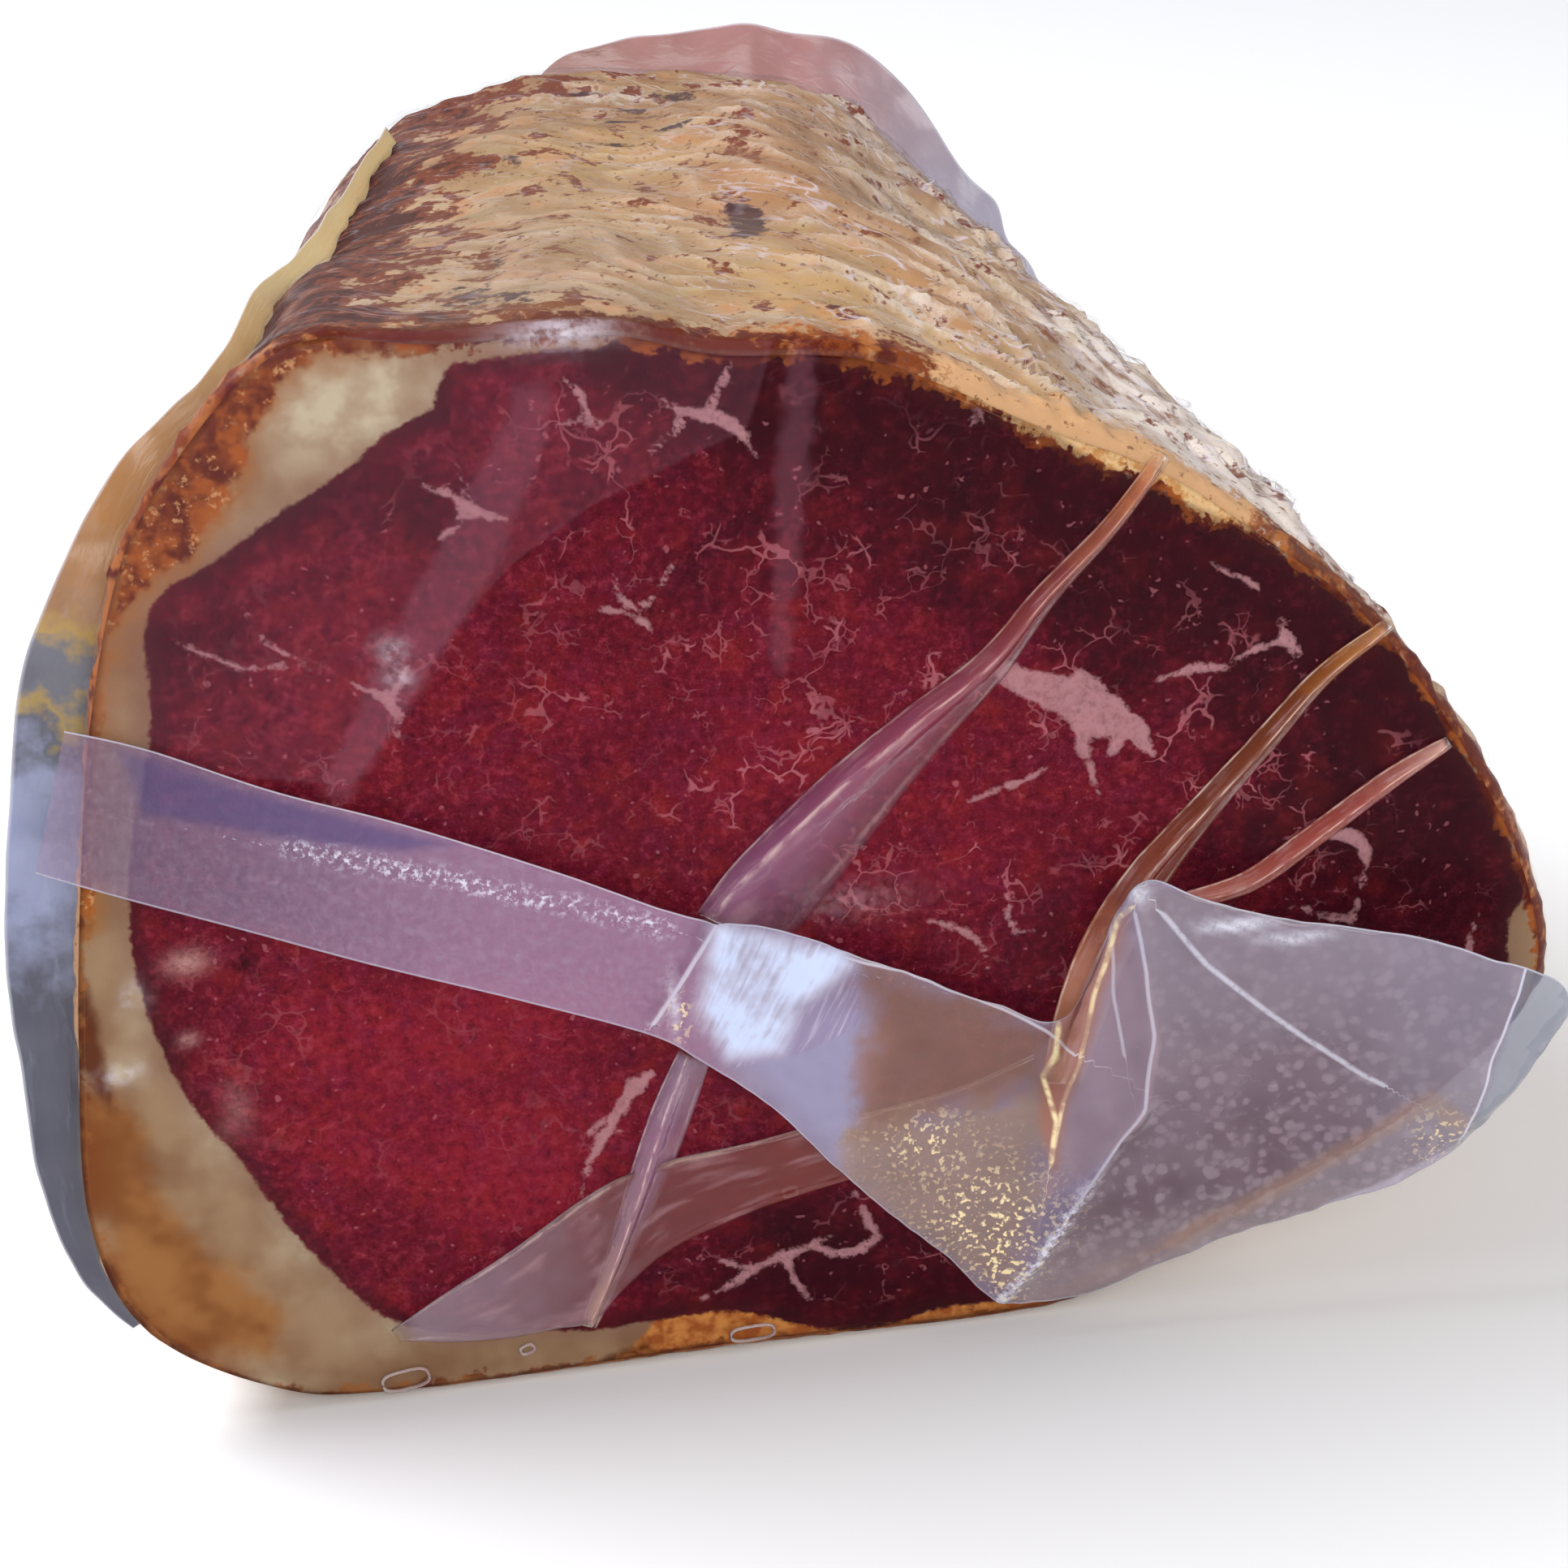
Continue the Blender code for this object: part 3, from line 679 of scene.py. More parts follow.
# Rind
# The dried outer skin of the piece, tan and grey on top, red brown at the upper left, with purple black mould and
# an amber lip where the knife went through it. It wraps the meat on every side and closes its back end.
RIND_ROUND_STEPS = 560
LIP_STEPS = 7
RIND_DEPTHS = 128
RIND_DOME_STEPS = 20
RIND_INSET = 0.35 * MM
RIND_TUCK = [(3 * MM, -6 * MM, 0.02), (3 * MM, -6 * MM, 1)]
RIND_CRINKLES = ((5, 0.5), (11, 0.9))
RIND_GATHER = 1.7 * MM
LIP_ROUGHNESS = 0.9 * MM
RIND_SHRINK = 0.4 * MM
rind_rings = rows(RIND_TUCK, lip_rows(0, LIP_STEPS, 0, RIND_INSET), side_rows(RIND_DEPTHS, RIND_INSET),
                  dome_rows(RIND_DOME_STEPS, -RIND_INSET))
rind_places, outward = skin_places(RIND_ROUND_STEPS, rind_rings)
rind_depth = rind_places[..., 1].copy()
crinkle = sum(noise_at(rind_places, spacing * MM) * height * MM for spacing, height in RIND_CRINKLES)
crinkle = crinkle * ramp(rind_depth, 0, 8 * MM) + gather_at(rind_places) * RIND_GATHER
near_lip = ramp(rind_depth, 0.4 * MM, 2 * MM) * ramp(rind_depth, 9 * MM, 5 * MM)
crinkle += noise_at(rind_places, 3 * MM) * LIP_ROUGHNESS * near_lip
rind_places += outward * (crinkle - RIND_SHRINK * (rind_depth > 8 * MM))[..., None]
rind_places[..., 2] = np.maximum(rind_places[..., 2], RIND_INSET)
rind = add_skin("rind", rind_places)

# Soft spots of the unrolled rind: (turn in degrees, depth, half turn, half depth, strength)
RIND_SPOTS = {
    "red_brown": (
        (124, 120, 11, 40, 1), (128, 70, 9, 40, 1), (132, 30, 12, 30, 0.9), (122, 8, 14, 9, 0.8),
        (112, 146, 16, 8, 0.6), (166, 70, 26, 90, 0.5), (-150, 60, 24, 90, 0.35),
    ),
    "grey": (
        (58, 100, 26, 60, 0.9), (35, 60, 18, 50, 1), (104, 50, 10, 40, 0.4), (112, 24, 8, 22, 0.5),
        (15, 110, 14, 50, 0.6),
    ),
    "orange": (
        (88, 75, 11, 30, 0.9), (79, 112, 8, 26, 0.8), (70, 60, 6, 30, 0.6), (100, 128, 12, 10, 0.5),
        (66, 34, 7, 14, 0.5),
    ),
    "white": ((36, 34, 17, 46, 1.5), (50, 140, 22, 26, 0.8), (102, 140, 12, 14, 0.5), (74, 26, 5, 14, 0.5)),
    "yellow": (
        (98, 100, 9, 30, 0.6), (86, 30, 12, 22, 0.6), (104, 70, 6, 30, 0.5), (75, 45, 6, 30, 0.5),
        (64, 18, 14, 12, 0.4),
    ),
    "mould": (
        (88.4, 59, 2.0, 8, 1.6), (89.8, 48, 1.2, 4, 1.1), (90, 140, 4, 3, 0.9), (99, 104, 2.4, 1.8, 0.8),
        (101, 140, 3, 2, 0.8), (96, 132, 3.4, 2.6, 0.9), (98, 121, 3, 2, 0.9), (92, 112, 2.6, 1.6, 0.8),
        (115, 20, 2.6, 6, 0.9), (111, 14, 1.8, 5, 0.8), (113, 34, 1.4, 4, 0.7), (109, 62, 0.8, 5, 0.5),
        (106, 84, 1.6, 3, 0.5), (112, 95, 4, 4, 0.5), (84, 16, 1.2, 4, 0.45), (100, 12, 2, 3, 0.4),
        (48, 70, 2, 6, 0.5), (38, 40, 2, 8, 0.5),
    ),
}
at = places_of(rind)
x, y, z = at.T
turn = np.degrees(np.arctan2(z - FACE_CENTRE[1] / MM, x - FACE_CENTRE[0] / MM))
mark_each(rind, RIND_SPOTS, spots, np.stack([turn, y], -1))
mark(rind, "far", ramp(y, 100, 150))
mark(rind, "ridge", gather_at(at * MM))
# Along the rim the lip is amber at the upper left, cream above, shaded brown beside that, and tan at the left
shade_lip = ramp(turn, 76, 95) * ramp(turn, 135, 120) + 0.7 * ramp(turn, -40, -20) * ramp(turn, 36, 24)
mark(rind, "lip", ramp(y, 10, 2) * (1 - ramp(np.abs(turn - 108), 10, 2)))
mark(rind, "shade_lip", ramp(y, 7, 1.5) * shade_lip)
mark(rind, "tan_lip", ramp(y, 7, 4) * np.maximum(ramp(turn, 158, 170), ramp(turn, -128, -140)))
mark(rind, "cream_lip", ramp(y, 9, 3) * ramp(np.abs(turn - 57), 24, 14))


def along_wrinkles(look, width, length):
    """Noise drawn out along the film's wrinkles, which run from the back left to the right front."""
    ways = ((0.41, 0.82, -0.41), width), ((-0.6, 0.5, 0.6), length), ((0.6, 0, 0.7), length)
    parts = {}
    for number, (way, size) in enumerate(ways):
        far = look.node("VectorMath", {0: look.place, 1: way}, "Value", operation="DOT_PRODUCT")
        parts[number] = far / (size * MM)
    return look.node("TexNoise", {"Vector": look.node("CombineXYZ", parts), "Scale": 1, "Detail": 3}, "Fac")


def ridges(value, width):
    """Thin bright ridges where a noise passes its middle."""
    return abs(value - 0.5).span(0, width, 1, 0)


def rind_finish():
    look = Look("rind")
    broad = look.grain(16)
    middle = look.grain(6, 3, 0.65)
    fine = look.grain(1.4, 3, 0.65)
    colour = blend(broad.span(0.38, 0.62), (158, 122, 88), (184, 152, 118))
    patch = look.grain(8, 3, 0.65)
    ragged = look.grain(2.4, 3, 0.65)
    yellow = look.mark("yellow") * middle.span(0.35, 0.55)
    orange = look.mark("orange") * patch.span(0.35, 0.55, 0.3, 1)
    grey = look.mark("grey") * patch.span(0.38, 0.6, 0.3, 1)
    # Pale crests on the gathered ridges are painted highlights, where the film's wrinkles catch the light.
    ridge_highlight = look.mark("ridge") * fine.span(0.3, 0.6, 0.4, 1)
    far = look.mark("far") * along_wrinkles(look, 4, 16).span(0.4, 0.6, 0.2, 0.8)
    red = look.mark("red_brown") + middle.span(0.3, 0.7, -0.75, 0.5) + fine.span(0.25, 0.75, -0.25, 0.2)
    lip = (look.mark("lip") + ragged.span(0.25, 0.75, -0.5, 0.35)).span(0.3, 0.7)
    cream = (look.mark("cream_lip") + ragged.span(0.25, 0.75, -0.4, 0.25)).span(0.25, 0.6)
    tan = look.mark("tan_lip") * fine.span(0.3, 0.55, 0.7, 1)
    shade = (look.mark("shade_lip") + ragged.span(0.25, 0.75, -0.5, 0.3)).span(0.2, 0.6, 0, 0.9)
    mould = look.mark("mould") + ragged.span(0.25, 0.75, -0.45, 0.3)
    # Darker valleys between the ridges, in the grey zone, are painted shade.
    valley_shade = look.mark("ridge").span(0.0, 0.12, 1, 0) * look.mark("grey")
    colour = coats(colour, (
        (patch.span(0.53, 0.64, 0, 0.8), (186, 128, 84)),
        (patch.span(0.44, 0.34, 0, 0.6), (170, 146, 106)),
        (middle.span(0.5, 0.66, 0, 0.7), (192, 162, 128)),
        (yellow * 0.8, (190, 150, 84)),
        (orange * 0.9, (168, 112, 66)),
        (grey * 0.85, (184, 158, 134)),
        ((look.mark("white") + middle.span(0.3, 0.7, -0.3, 0.3)).span(0.2, 0.8, 0, 0.9), (222, 212, 206)),
        (ridge_highlight * 0.9, (226, 212, 198)),
        (far, (140, 100, 74)),
        (red.span(0.15, 0.5, 0, 0.94), (112, 46, 24)),
        (red.span(0.75, 1.1, 0, 0.8), (56, 16, 12)),
        (along_wrinkles(look, 9, 30).span(0.6, 0.72, 0, 0.45), (140, 92, 60)),
        (lip, blend(patch.span(0.42, 0.58), (126, 58, 22), (168, 100, 48))),
        (lip * middle.span(0.5, 0.62), (86, 26, 12)),
        (cream, (206, 160, 116)),
        (tan, (178, 136, 104)),
        (shade, (84, 22, 14)),
        (mould.span(0.32, 0.7, 0, 0.9), (62, 40, 48)),
        (fine.span(0.6, 0.67, 0, 0.7), (104, 62, 44)),
        (valley_shade * middle.span(0.4, 0.6, 0.15, 0.8), (134, 94, 66)),
    ))
    bumps = look.bump(middle + fine * 0.4, 0.4, 0.8)
    look.surface(colour, fine.span(0.2, 0.8, 0.35, 0.6), 0.15, bumps, (178, 144, 112))
    return look.material


rind.data.materials.append(rind_finish())

# Clinging film
# Clear packing film that the vacuum has drawn tight over the meat and the rind. It is smooth on the cut face,
# bridges the small step at the rim, and is gathered into fine wrinkles over the top and the right shoulder.
FILM_ROUND_STEPS = 500
FILM_FACE_RINGS = 46
FILM_DEPTHS = 92
FILM_LIP_STEPS = 6
FILM_DOME_STEPS = 14
FACE_FILM_GAP = 0.3 * MM
FILM_GATHER = 1.9 * MM
face = [(-FACE_FILM_GAP, -RIM_RADIUS, 0.01 + 0.99 * step / FILM_FACE_RINGS) for step in range(FILM_FACE_RINGS + 1)]
film_rings = rows(face, lip_rows(1, FILM_LIP_STEPS, FACE_FILM_GAP, 0), side_rows(FILM_DEPTHS, 0),
                  dome_rows(FILM_DOME_STEPS, 0))
film_places, outward = skin_places(FILM_ROUND_STEPS, film_rings)
film_face = slice(0, FILM_FACE_RINGS + 1)
film_places[film_face, :, 1] += hollow_at(film_places[film_face, :, 0], film_places[film_face, :, 2])
film_places += outward * (gather_at(film_places) * FILM_GATHER)[..., None]
film_places[..., 2] = np.maximum(film_places[..., 2], 0)
clinging_film = add_skin("clinging_film", film_places)
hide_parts("bag_body")

# Milky bands where the film lies double or creased on the cut face: (x, z, half width) in mm
MILKY_BANDS = (
    ((-28, 152, 2.5), (-32, 143, 3.4), (-38, 132, 3.8), (-46, 120, 3.6), (-53, 109, 3.0), (-59, 100, 2.2)),
    ((5.5, 153, 2), (4, 139, 2.2), (2, 125, 1.8), (0.5, 111, 1.2)),
)
DOUBLED_FILM = (
    (2, 156), (-2, 145), (-10, 142), (-22, 137), (-33, 130), (-42, 121), (-50, 110), (-57, 101), (-70, 104),
    (-90, 112), (-92, 135), (-70, 160), (-30, 164),
)
# Soft spots of milky film: (x, z, half width, half height, strength); the first, a bluish white glare on the film at
# the top rim, is a painted highlight.
MILK_AND_GLARE_SPOTS = (
    (-24, 160, 6, 1.6, 1.2), (-49.5, 119.5, 1.6, 1.8, 0.7), (-49, 115.4, 1.6, 1.4, 0.7), (-93, 61, 2.6, 1.4, 0.8),
    (-89.5, 73, 1.2, 2.2, 0.6), (7, 74, 9, 2.6, 0.2),
)
at = places_of(clinging_film)
x, y, z = at.T
face_at = at[:, [0, 2]]
on_face = y < 1.5
mark(clinging_film, "milky_gap", np.where(on_face, nearest_gap(face_at, MILKY_BANDS), 9))
mark(clinging_film, "doubled", np.where(on_face, depth_inside(face_at, DOUBLED_FILM), -9))
mark(clinging_film, "milk_and_glare_spot", spots(face_at, MILK_AND_GLARE_SPOTS) * on_face)
mark(clinging_film, "gloss", np.where(on_face, 0.15, 0.6))
mark(clinging_film, "gathered", ramp(z, 60, 95) * (0.35 + 0.65 * ramp(x, -20, 20)) * ramp(y, 1, 9))


class FilmLook(Look):
    """Clear film that shows the meat, mirrors the lights, is milky by a mask, and casts only a light shade."""

    def __init__(self, name, gloss_rough, shade):
        super().__init__(name)
        clear = self.node("BsdfTransparent", {"Color": (1, 1, 1, 1)})
        self.mirror = add_node(self.tree, "BsdfGlossy", {"Color": (1, 1, 1, 1), "Roughness": gloss_rough})
        self.sheen = add_node(self.tree, "Fresnel", {"IOR": 1.22})
        self.sheet = add_node(self.tree, "MixShader", {0: Value(self.sheen), 1: clear, 2: Value(self.mirror)})
        self.milky = add_node(self.tree, "MixShader", {1: Value(self.sheet), 2: Value(self.shader)})
        self.show(Value(self.milky), "BsdfTransparent", (shade, shade, shade, 1))

    def streaks(self, along, across, scale=1, detail=3, bend=0.0):
        """Noise drawn out over a sheet, with so many features along it and across it."""
        drawn = self.node("CombineXYZ", {0: self.mark("along") * along, 1: self.mark("across") * across})
        return self.node("TexNoise", {"Vector": drawn, "Scale": scale, "Detail": detail, "Distortion": bend}, "Fac")

    def colour_row(self, colours, size, sway):
        """Colours in a row along a sheet, each with its place, and with borders that sway."""
        where = self.mark("along") + self.grain(size).span(0.2, 0.8, -sway, sway)
        row = add_node(self.tree, "ValToRGB", {0: where})
        points = row.color_ramp.elements
        points[0].position, points[1].position = colours[0][0], colours[-1][0]
        points[0].color, points[1].color = paint(*colours[0][1]), paint(*colours[-1][1])
        for position, colour in colours[1:-1]:
            points.new(position).color = paint(*colour)
        return Value(row)

    def milk(self, colour, rough, amount, height, strength, depth):
        """Gives the film its milky colour, how milky it is, and small bumps that its mirror shows too."""
        bumps = self.bump(height, strength, depth)
        fill(self.shader, {"Base Color": colour, "Roughness": rough})
        fill(self.milky, {0: amount})
        for taker in (self.mirror, self.sheen, self.shader):
            fill(taker, {"Normal": bumps})


def clinging_film_finish():
    look = FilmLook("clinging_film", 0.12, 0.97)
    wrinkles = along_wrinkles(look, 8, 34)
    # White lines on the crests of the gathered wrinkles are painted highlights.
    lines = ridges(wrinkles, 0.014).most(ridges(along_wrinkles(look, 5, 20), 0.012))
    lines = lines * look.grain(9).span(0.35, 0.6) * look.mark("gathered")
    band = (look.mark("milky_gap") + look.grain(4).span(0.2, 0.8, -0.8, 0.8)).span(-1.2, 0.8, 0.17, 0)
    doubled = look.mark("doubled").span(-0.5, 0.8, 0, 0.09)
    doubled_edge = abs(look.mark("doubled")).span(0.1, 0.6, 0.08, 0)
    mauve = band + (doubled + doubled_edge)
    # Milky spots of film, and a glare spot that is a painted highlight.
    spot = look.mark("milk_and_glare_spot") * look.grain(1.6).span(0.3, 0.65, 0.1, 0.7)
    white = spot + lines * 0.6
    veil = mauve + white
    whiteness = white / (veil + 0.001)
    colour = blend(whiteness, (150, 84, 108), (212, 202, 214))
    look.milk(colour, 0.3, veil.least(0.9), wrinkles * look.mark("gathered") * 1.6, 0.5, 1.0)
    fill(look.sheet, {0: Value(look.sheen).least(0.2) * look.mark("gloss")})
    return look.material


clinging_film.data.materials.append(clinging_film_finish())

# Pleats
# Four folds of the same clear film that stand up from the cut face, where the bag had slack to take up. Each is
# sharp along its upper edge, flattens out below, and carries the colour of the meat under it.
PLEAT_STEPS = 150
PLEAT_SIDES = 26
PLEAT_GAP = 0.4
PLEAT_LINES = 0.6
FILM_SHEET = 0.16 * MM


def add_sheet(name, places, thickness=FILM_SHEET):
    """A thin sheet laid through a table of places, which keeps how far along and across each vertex is."""
    row_count, column_count = places.shape[0] - 1, places.shape[1] - 1
    mesh = bmesh.new()
    bmesh.ops.create_grid(mesh, x_segments=row_count, y_segments=column_count, size=0.5)
    shares = np.array([(vertex.co.x + 0.5, vertex.co.y + 0.5) for vertex in mesh.verts])
    for vertex, (along, across) in zip(mesh.verts, shares):
        vertex.co = places[round(along * row_count), round(across * column_count)] + SHIFT
    thing = add_piece(name, mesh)
    mark(thing, "along", shares[:, 0])
    mark(thing, "across", shares[:, 1])
    width = np.linalg.norm(places[:, -1] - places[:, 0], axis=-1) / MM
    row = np.round(shares[:, 0] * row_count).astype(int)
    mark(thing, "edge_gap", np.minimum(shares[:, 1], 1 - shares[:, 1]) * width[row])
    wall = thing.modifiers.new("thickness", "SOLIDIFY")
    wall.thickness = thickness
    wall.offset = 0
    return thing


def pleat_places(route):
    """A hump of film along a route of (x, z, width above, width below, height) in mm, with its crest near the top."""
    along = np.linspace(0, len(route) - 1, PLEAT_STEPS + 1)
    x, z, above, below, height = curve_at(route, along).T
    run = np.gradient(np.stack([x, z], -1), axis=0)
    run /= np.linalg.norm(run, axis=1, keepdims=True)
    upward = np.stack([run[:, 1], -run[:, 0]], -1) * np.sign(-run[:, 0])[:, None]
    across = np.linspace(-1, 1, PLEAT_SIDES + 1)[None]
    reach = np.where(across < 0, -across * above[:, None], -across * below[:, None])
    above_crest = np.sin((1 + across) * math.pi / 2)
    below_crest = (1 - across) ** 1.15 * (1 + 0.25 * np.sin(across * 9))
    rise = np.where(across < 0, above_crest, below_crest)
    ends = np.clip(np.minimum(along, along[-1] - along) * 2.5, 0, 1)[:, None] ** 0.5
    face_x = (x[:, None] + upward[:, :1] * reach) * MM
    face_z = (z[:, None] + upward[:, 1:] * reach) * MM
    off = (PLEAT_GAP + rise * height[:, None] * ends) * MM
    return np.stack([face_x, hollow_at(face_x, face_z) - off, face_z], -1)


def folded_film_finish(name, colours, share, crest=0.9, line_strength=1.0, fade=0.35):
    """Tinted by the meat under it: a row of colours along the fold, with painted highlight lines on its crest and
    near its upper and lower edges.
    """
    look = FilmLook(name, 0.1, 0.8)
    along, across = look.mark("along"), look.mark("across")
    row = [(step / (len(colours) - 1), colour) for step, colour in enumerate(colours)]
    streak = look.streaks(9, 5, detail=4)
    colour = blend(streak.span(0.5, 0.7, 0, 0.4), look.colour_row(row, 3, 0.05), (206, 160, 168))
    crest_highlight = abs(across - 0.5).span(0.0, 0.05, line_strength, 0)
    upper_highlight = abs(across - 0.04).span(0.0, 0.04, 0.8, 0)
    lower_highlight = abs(across - 0.93).span(0.0, 0.04, 0.6 * line_strength, 0)
    lines = crest_highlight.most(upper_highlight).most(lower_highlight) * (look.streaks(9, 5, 2.3).span(0.35, 0.6) * crest)
    amount = across.span(0.4, 1.0, share, share * fade) + lines * 0.5
    amount = amount * (along.span(0, 0.06) * along.span(1, 0.95))
    look.milk(blend(lines, colour, (246, 222, 204)), 0.2, amount.least(0.92), streak, 0.5, 0.6)
    return look.material


LONG_PLEAT = (
    (52, 135.5, 1.1, 1.2, 1.3), (45, 126.5, 1.2, 1.5, 1.6), (36, 117.5, 1.4, 2.2, 1.8), (28, 108.5, 1.6, 3.6, 2.0),
    (17, 100.5, 1.8, 6.5, 2.1), (8, 93.5, 2.0, 9.0, 2.1), (0, 86.5, 2.0, 11, 2.0), (-7, 80, 1.8, 12, 1.7),
    (-12, 74, 1.4, 11, 1.4),
)
RIGHT_PLEAT = (
    (83, 107.5, 1.1, 1.1, 1.1), (74, 101, 1.5, 1.6, 1.4), (66, 92, 1.8, 2.1, 1.5), (57, 82, 2.0, 2.8, 1.6),
    (49, 73, 2.3, 4.2, 1.7), (43, 63, 2.6, 5.0, 1.7), (39, 52, 2.6, 5.0, 1.5), (36, 40, 2.0, 4.0, 1.2),
)
SIDE_PLEAT = (
    (92, 88.5, 1.0, 1.0, 1.0), (84, 84, 1.5, 1.8, 1.4), (73, 76, 1.7, 2.0, 1.5), (64, 70, 1.6, 2.0, 1.4),
    (55, 68, 1.2, 1.5, 1.3),
)
LOWER_PLEAT = (
    (-16, 53, 1.2, 3.6, 1.1), (-20, 44, 1.7, 4.2, 1.5), (-24, 33, 1.9, 3.6, 1.6), (-29, 20, 1.5, 2.2, 1.4),
    (-34, 8.5, 1.1, 1.3, 0.9),
)
# Each pleat's route, colours along it, milkiness, strength of its painted highlight lines, and what is left of the
# milk below
PLEATS = {
    "long_pleat": (
        LONG_PLEAT, ((196, 120, 76), (150, 66, 66), (150, 66, 92), (140, 74, 110), (150, 96, 130)), 0.62, 0.7, 0.12),
    "right_pleat": (
        RIGHT_PLEAT, ((190, 116, 40), (128, 60, 20), (120, 50, 24), (150, 70, 50), (196, 116, 84), (196, 122, 80)),
        0.66, 1.0, 0.4),
    "side_pleat": (SIDE_PLEAT, ((206, 150, 136), (160, 70, 60), (170, 80, 68), (190, 110, 96)), 0.72, 0.9, 0.6),
    "lower_pleat": (LOWER_PLEAT, ((160, 134, 156), (150, 100, 132), (156, 108, 124), (196, 150, 130)), 0.6, 0.8, 0.4),
}
for pleat_name, (route, colours, share, crest, fade) in PLEATS.items():
    pleat = add_sheet(pleat_name, pleat_places(route))
    pleat.data.materials.append(folded_film_finish(pleat_name, colours, share, crest, PLEAT_LINES, fade))
    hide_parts("bag_body")

# Lower fold
# Slack film that was pressed flat into a double fold over the bottom of the cut face, from the fat at the left
# to behind the loose tail of the mouth.
LOWER_FOLD = (  # x and z of the upper and of the lower edge in mm
    (-62, 13, -61, 11), (-54, 18, -53, 9.5), (-46, 22.5, -45, 9), (-39, 27, -39, 9.5), (-33, 31, -33, 10),
    (-27, 34, -28, 15), (-19, 36, -21, 20.5), (-9, 37, -10, 25), (0, 38.5, 0, 27.5), (11, 40, 10, 29.5),
    (22, 42, 22, 32), (33, 46, 34, 35),
)
sections = curve_at(LOWER_FOLD, np.linspace(0, len(LOWER_FOLD) - 1, 161))[:, None]
across = np.linspace(0, 1, 25)[None, :, None]
flat = (sections[..., :2] + (sections[..., 2:] - sections[..., :2]) * across) * MM
# It lies just over the film below, with a raised bead near each long edge: (place across, height)
off = 0.75
for bead, bead_height in ((0.03, 0.5), (0.97, 0.4)):
    off = off + bead_height * np.exp(-((across[..., 0] - bead) / 0.05) ** 2)
off = np.broadcast_to(off, flat.shape[:2]) * MM
fold_places = np.stack([flat[..., 0], hollow_at(flat[..., 0], flat[..., 1]) - off, flat[..., 1]], -1)
lower_fold = add_sheet("lower_fold", fold_places)
FOLD_COLOURS = (
    (150, 126, 140), (140, 108, 122), (128, 84, 92), (112, 38, 42), (120, 34, 30), (130, 46, 30), (140, 60, 32),
)
lower_fold.data.materials.append(folded_film_finish("lower_fold", FOLD_COLOURS, 0.5, 0.4, 0.0, 1.0))
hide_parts("bag_body")

# Bubbles
# Small raised rings where a little air is left between the film and the meat. They are film, pushed up in a loop:
# each is (x, z, half width, half height) in mm, and its tilt in degrees.
BUBBLES = {
    "bubble_upper": (5.5, 88.5, 2.6, 1.1, 34), "bubble_lower": (-4.5, 80.5, 1.9, 1.3, 30),
    "bubble_corner": (-61, 3.4, 3.4, 1.6, 8), "bubble_rim": (-10, 3.6, 3.2, 1.2, 2),
    "bubble_speck": (-43, 6, 1.0, 0.7, 20), "bubble_fold": (-3, 27.4, 1.0, 0.7, 10),
    "bubble_side": (89, 87, 2.4, 0.8, 32),
}
BUBBLE_COLOURS = ((226, 206, 200), (200, 160, 160), (240, 224, 210))
TUBE_RADIUS = 0.22
TUBE_HEIGHT = 0.25
for bubble_name, (x, z, half_x, half_z, tilt) in BUBBLES.items():
    loop = np.linspace(-math.pi, math.pi, 61)[:, None]
    tube = np.linspace(-math.pi, math.pi, 11)[None]
    square = (np.abs(np.cos(loop)) ** 3 + np.abs(np.sin(loop)) ** 3) ** (-1 / 3)
    long_way = np.cos(loop) * square * (half_x + TUBE_RADIUS * np.cos(tube))
    short_way = np.sin(loop) * square * (half_z + TUBE_RADIUS * np.cos(tube))
    slope = math.radians(tilt)
    ring_x = (x + long_way * math.cos(slope) - short_way * math.sin(slope)) * MM
    ring_z = (z + long_way * math.sin(slope) + short_way * math.cos(slope)) * MM
    off = np.broadcast_to((PLEAT_GAP + TUBE_HEIGHT * np.sin(tube)) * MM, ring_x.shape)
    ring = add_sheet(bubble_name, np.stack([ring_x, hollow_at(ring_x, ring_z) - off, ring_z], -1), 0.05 * MM)
    ring.data.materials.append(folded_film_finish(bubble_name, BUBBLE_COLOURS, 0.4, 1.0))
    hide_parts("bag_body")

# Mouth film
# The welded mouth of the pouch: one wide strip of doubled film, stiff where it was sealed. It lies across the face
# from the left rim, twists over once, and ends in a loose tail that stands off the lower right corner.
MOUTH_FILM = (  # x and z of the upper and of the lower edge, and the height of each over the face, in mm
    (-92, 114, -99, 94, 1.2, 1.2), (-82, 110, -89, 89, 1.2, 1.2), (-67, 102, -74, 82, 1.2, 1.2),
    (-51, 95, -57, 74, 1.3, 1.3), (-31, 85, -38, 66, 1.6, 1.8), (-15, 77, -21, 59, 3.0, 3.4),
    (-3, 74, -14, 54, 4.2, 4.4), (8, 68, -5, 45, 3.8, 4.0), (17, 63, 3, 34, 3.4, 3.8),
    (27, 57, 11, 24, 3.2, 3.8), (37, 54, 19, 15, 4.0, 4.0), (46, 75, 26, 7, 6.6, 4.6),
    (55, 73, 36, 6, 7.8, 5.2), (66, 69, 48, 10, 9.2, 5.8), (80, 66, 62, 15, 11.2, 6.6),
    (93, 62, 77, 19, 13.0, 7.6), (104, 57, 91, 25, 14.4, 8.8), (107, 50, 97, 30, 12.4, 8.0),
)
MOUTH_BOW = 0.6
along = np.linspace(0, 1, 441)[:, None]
across = np.linspace(0, 1, 65)[None]
sections = curve_at(MOUTH_FILM, along * (len(MOUTH_FILM) - 1))
x1, z1, x2, z2, height_1, height_2 = np.moveaxis(sections, -1, 0)
bow = MOUTH_BOW * np.sin(np.pi * across) * (1 + 3 * np.clip(along - 0.6, 0, 1))
height = height_1 + (height_2 - height_1) * across + bow
mouth_places = np.stack([x1 + (x2 - x1) * across, -height, z1 + (z2 - z1) * across], -1) * MM
x, z = mouth_places[..., 0] / MM, mouth_places[..., 2] / MM
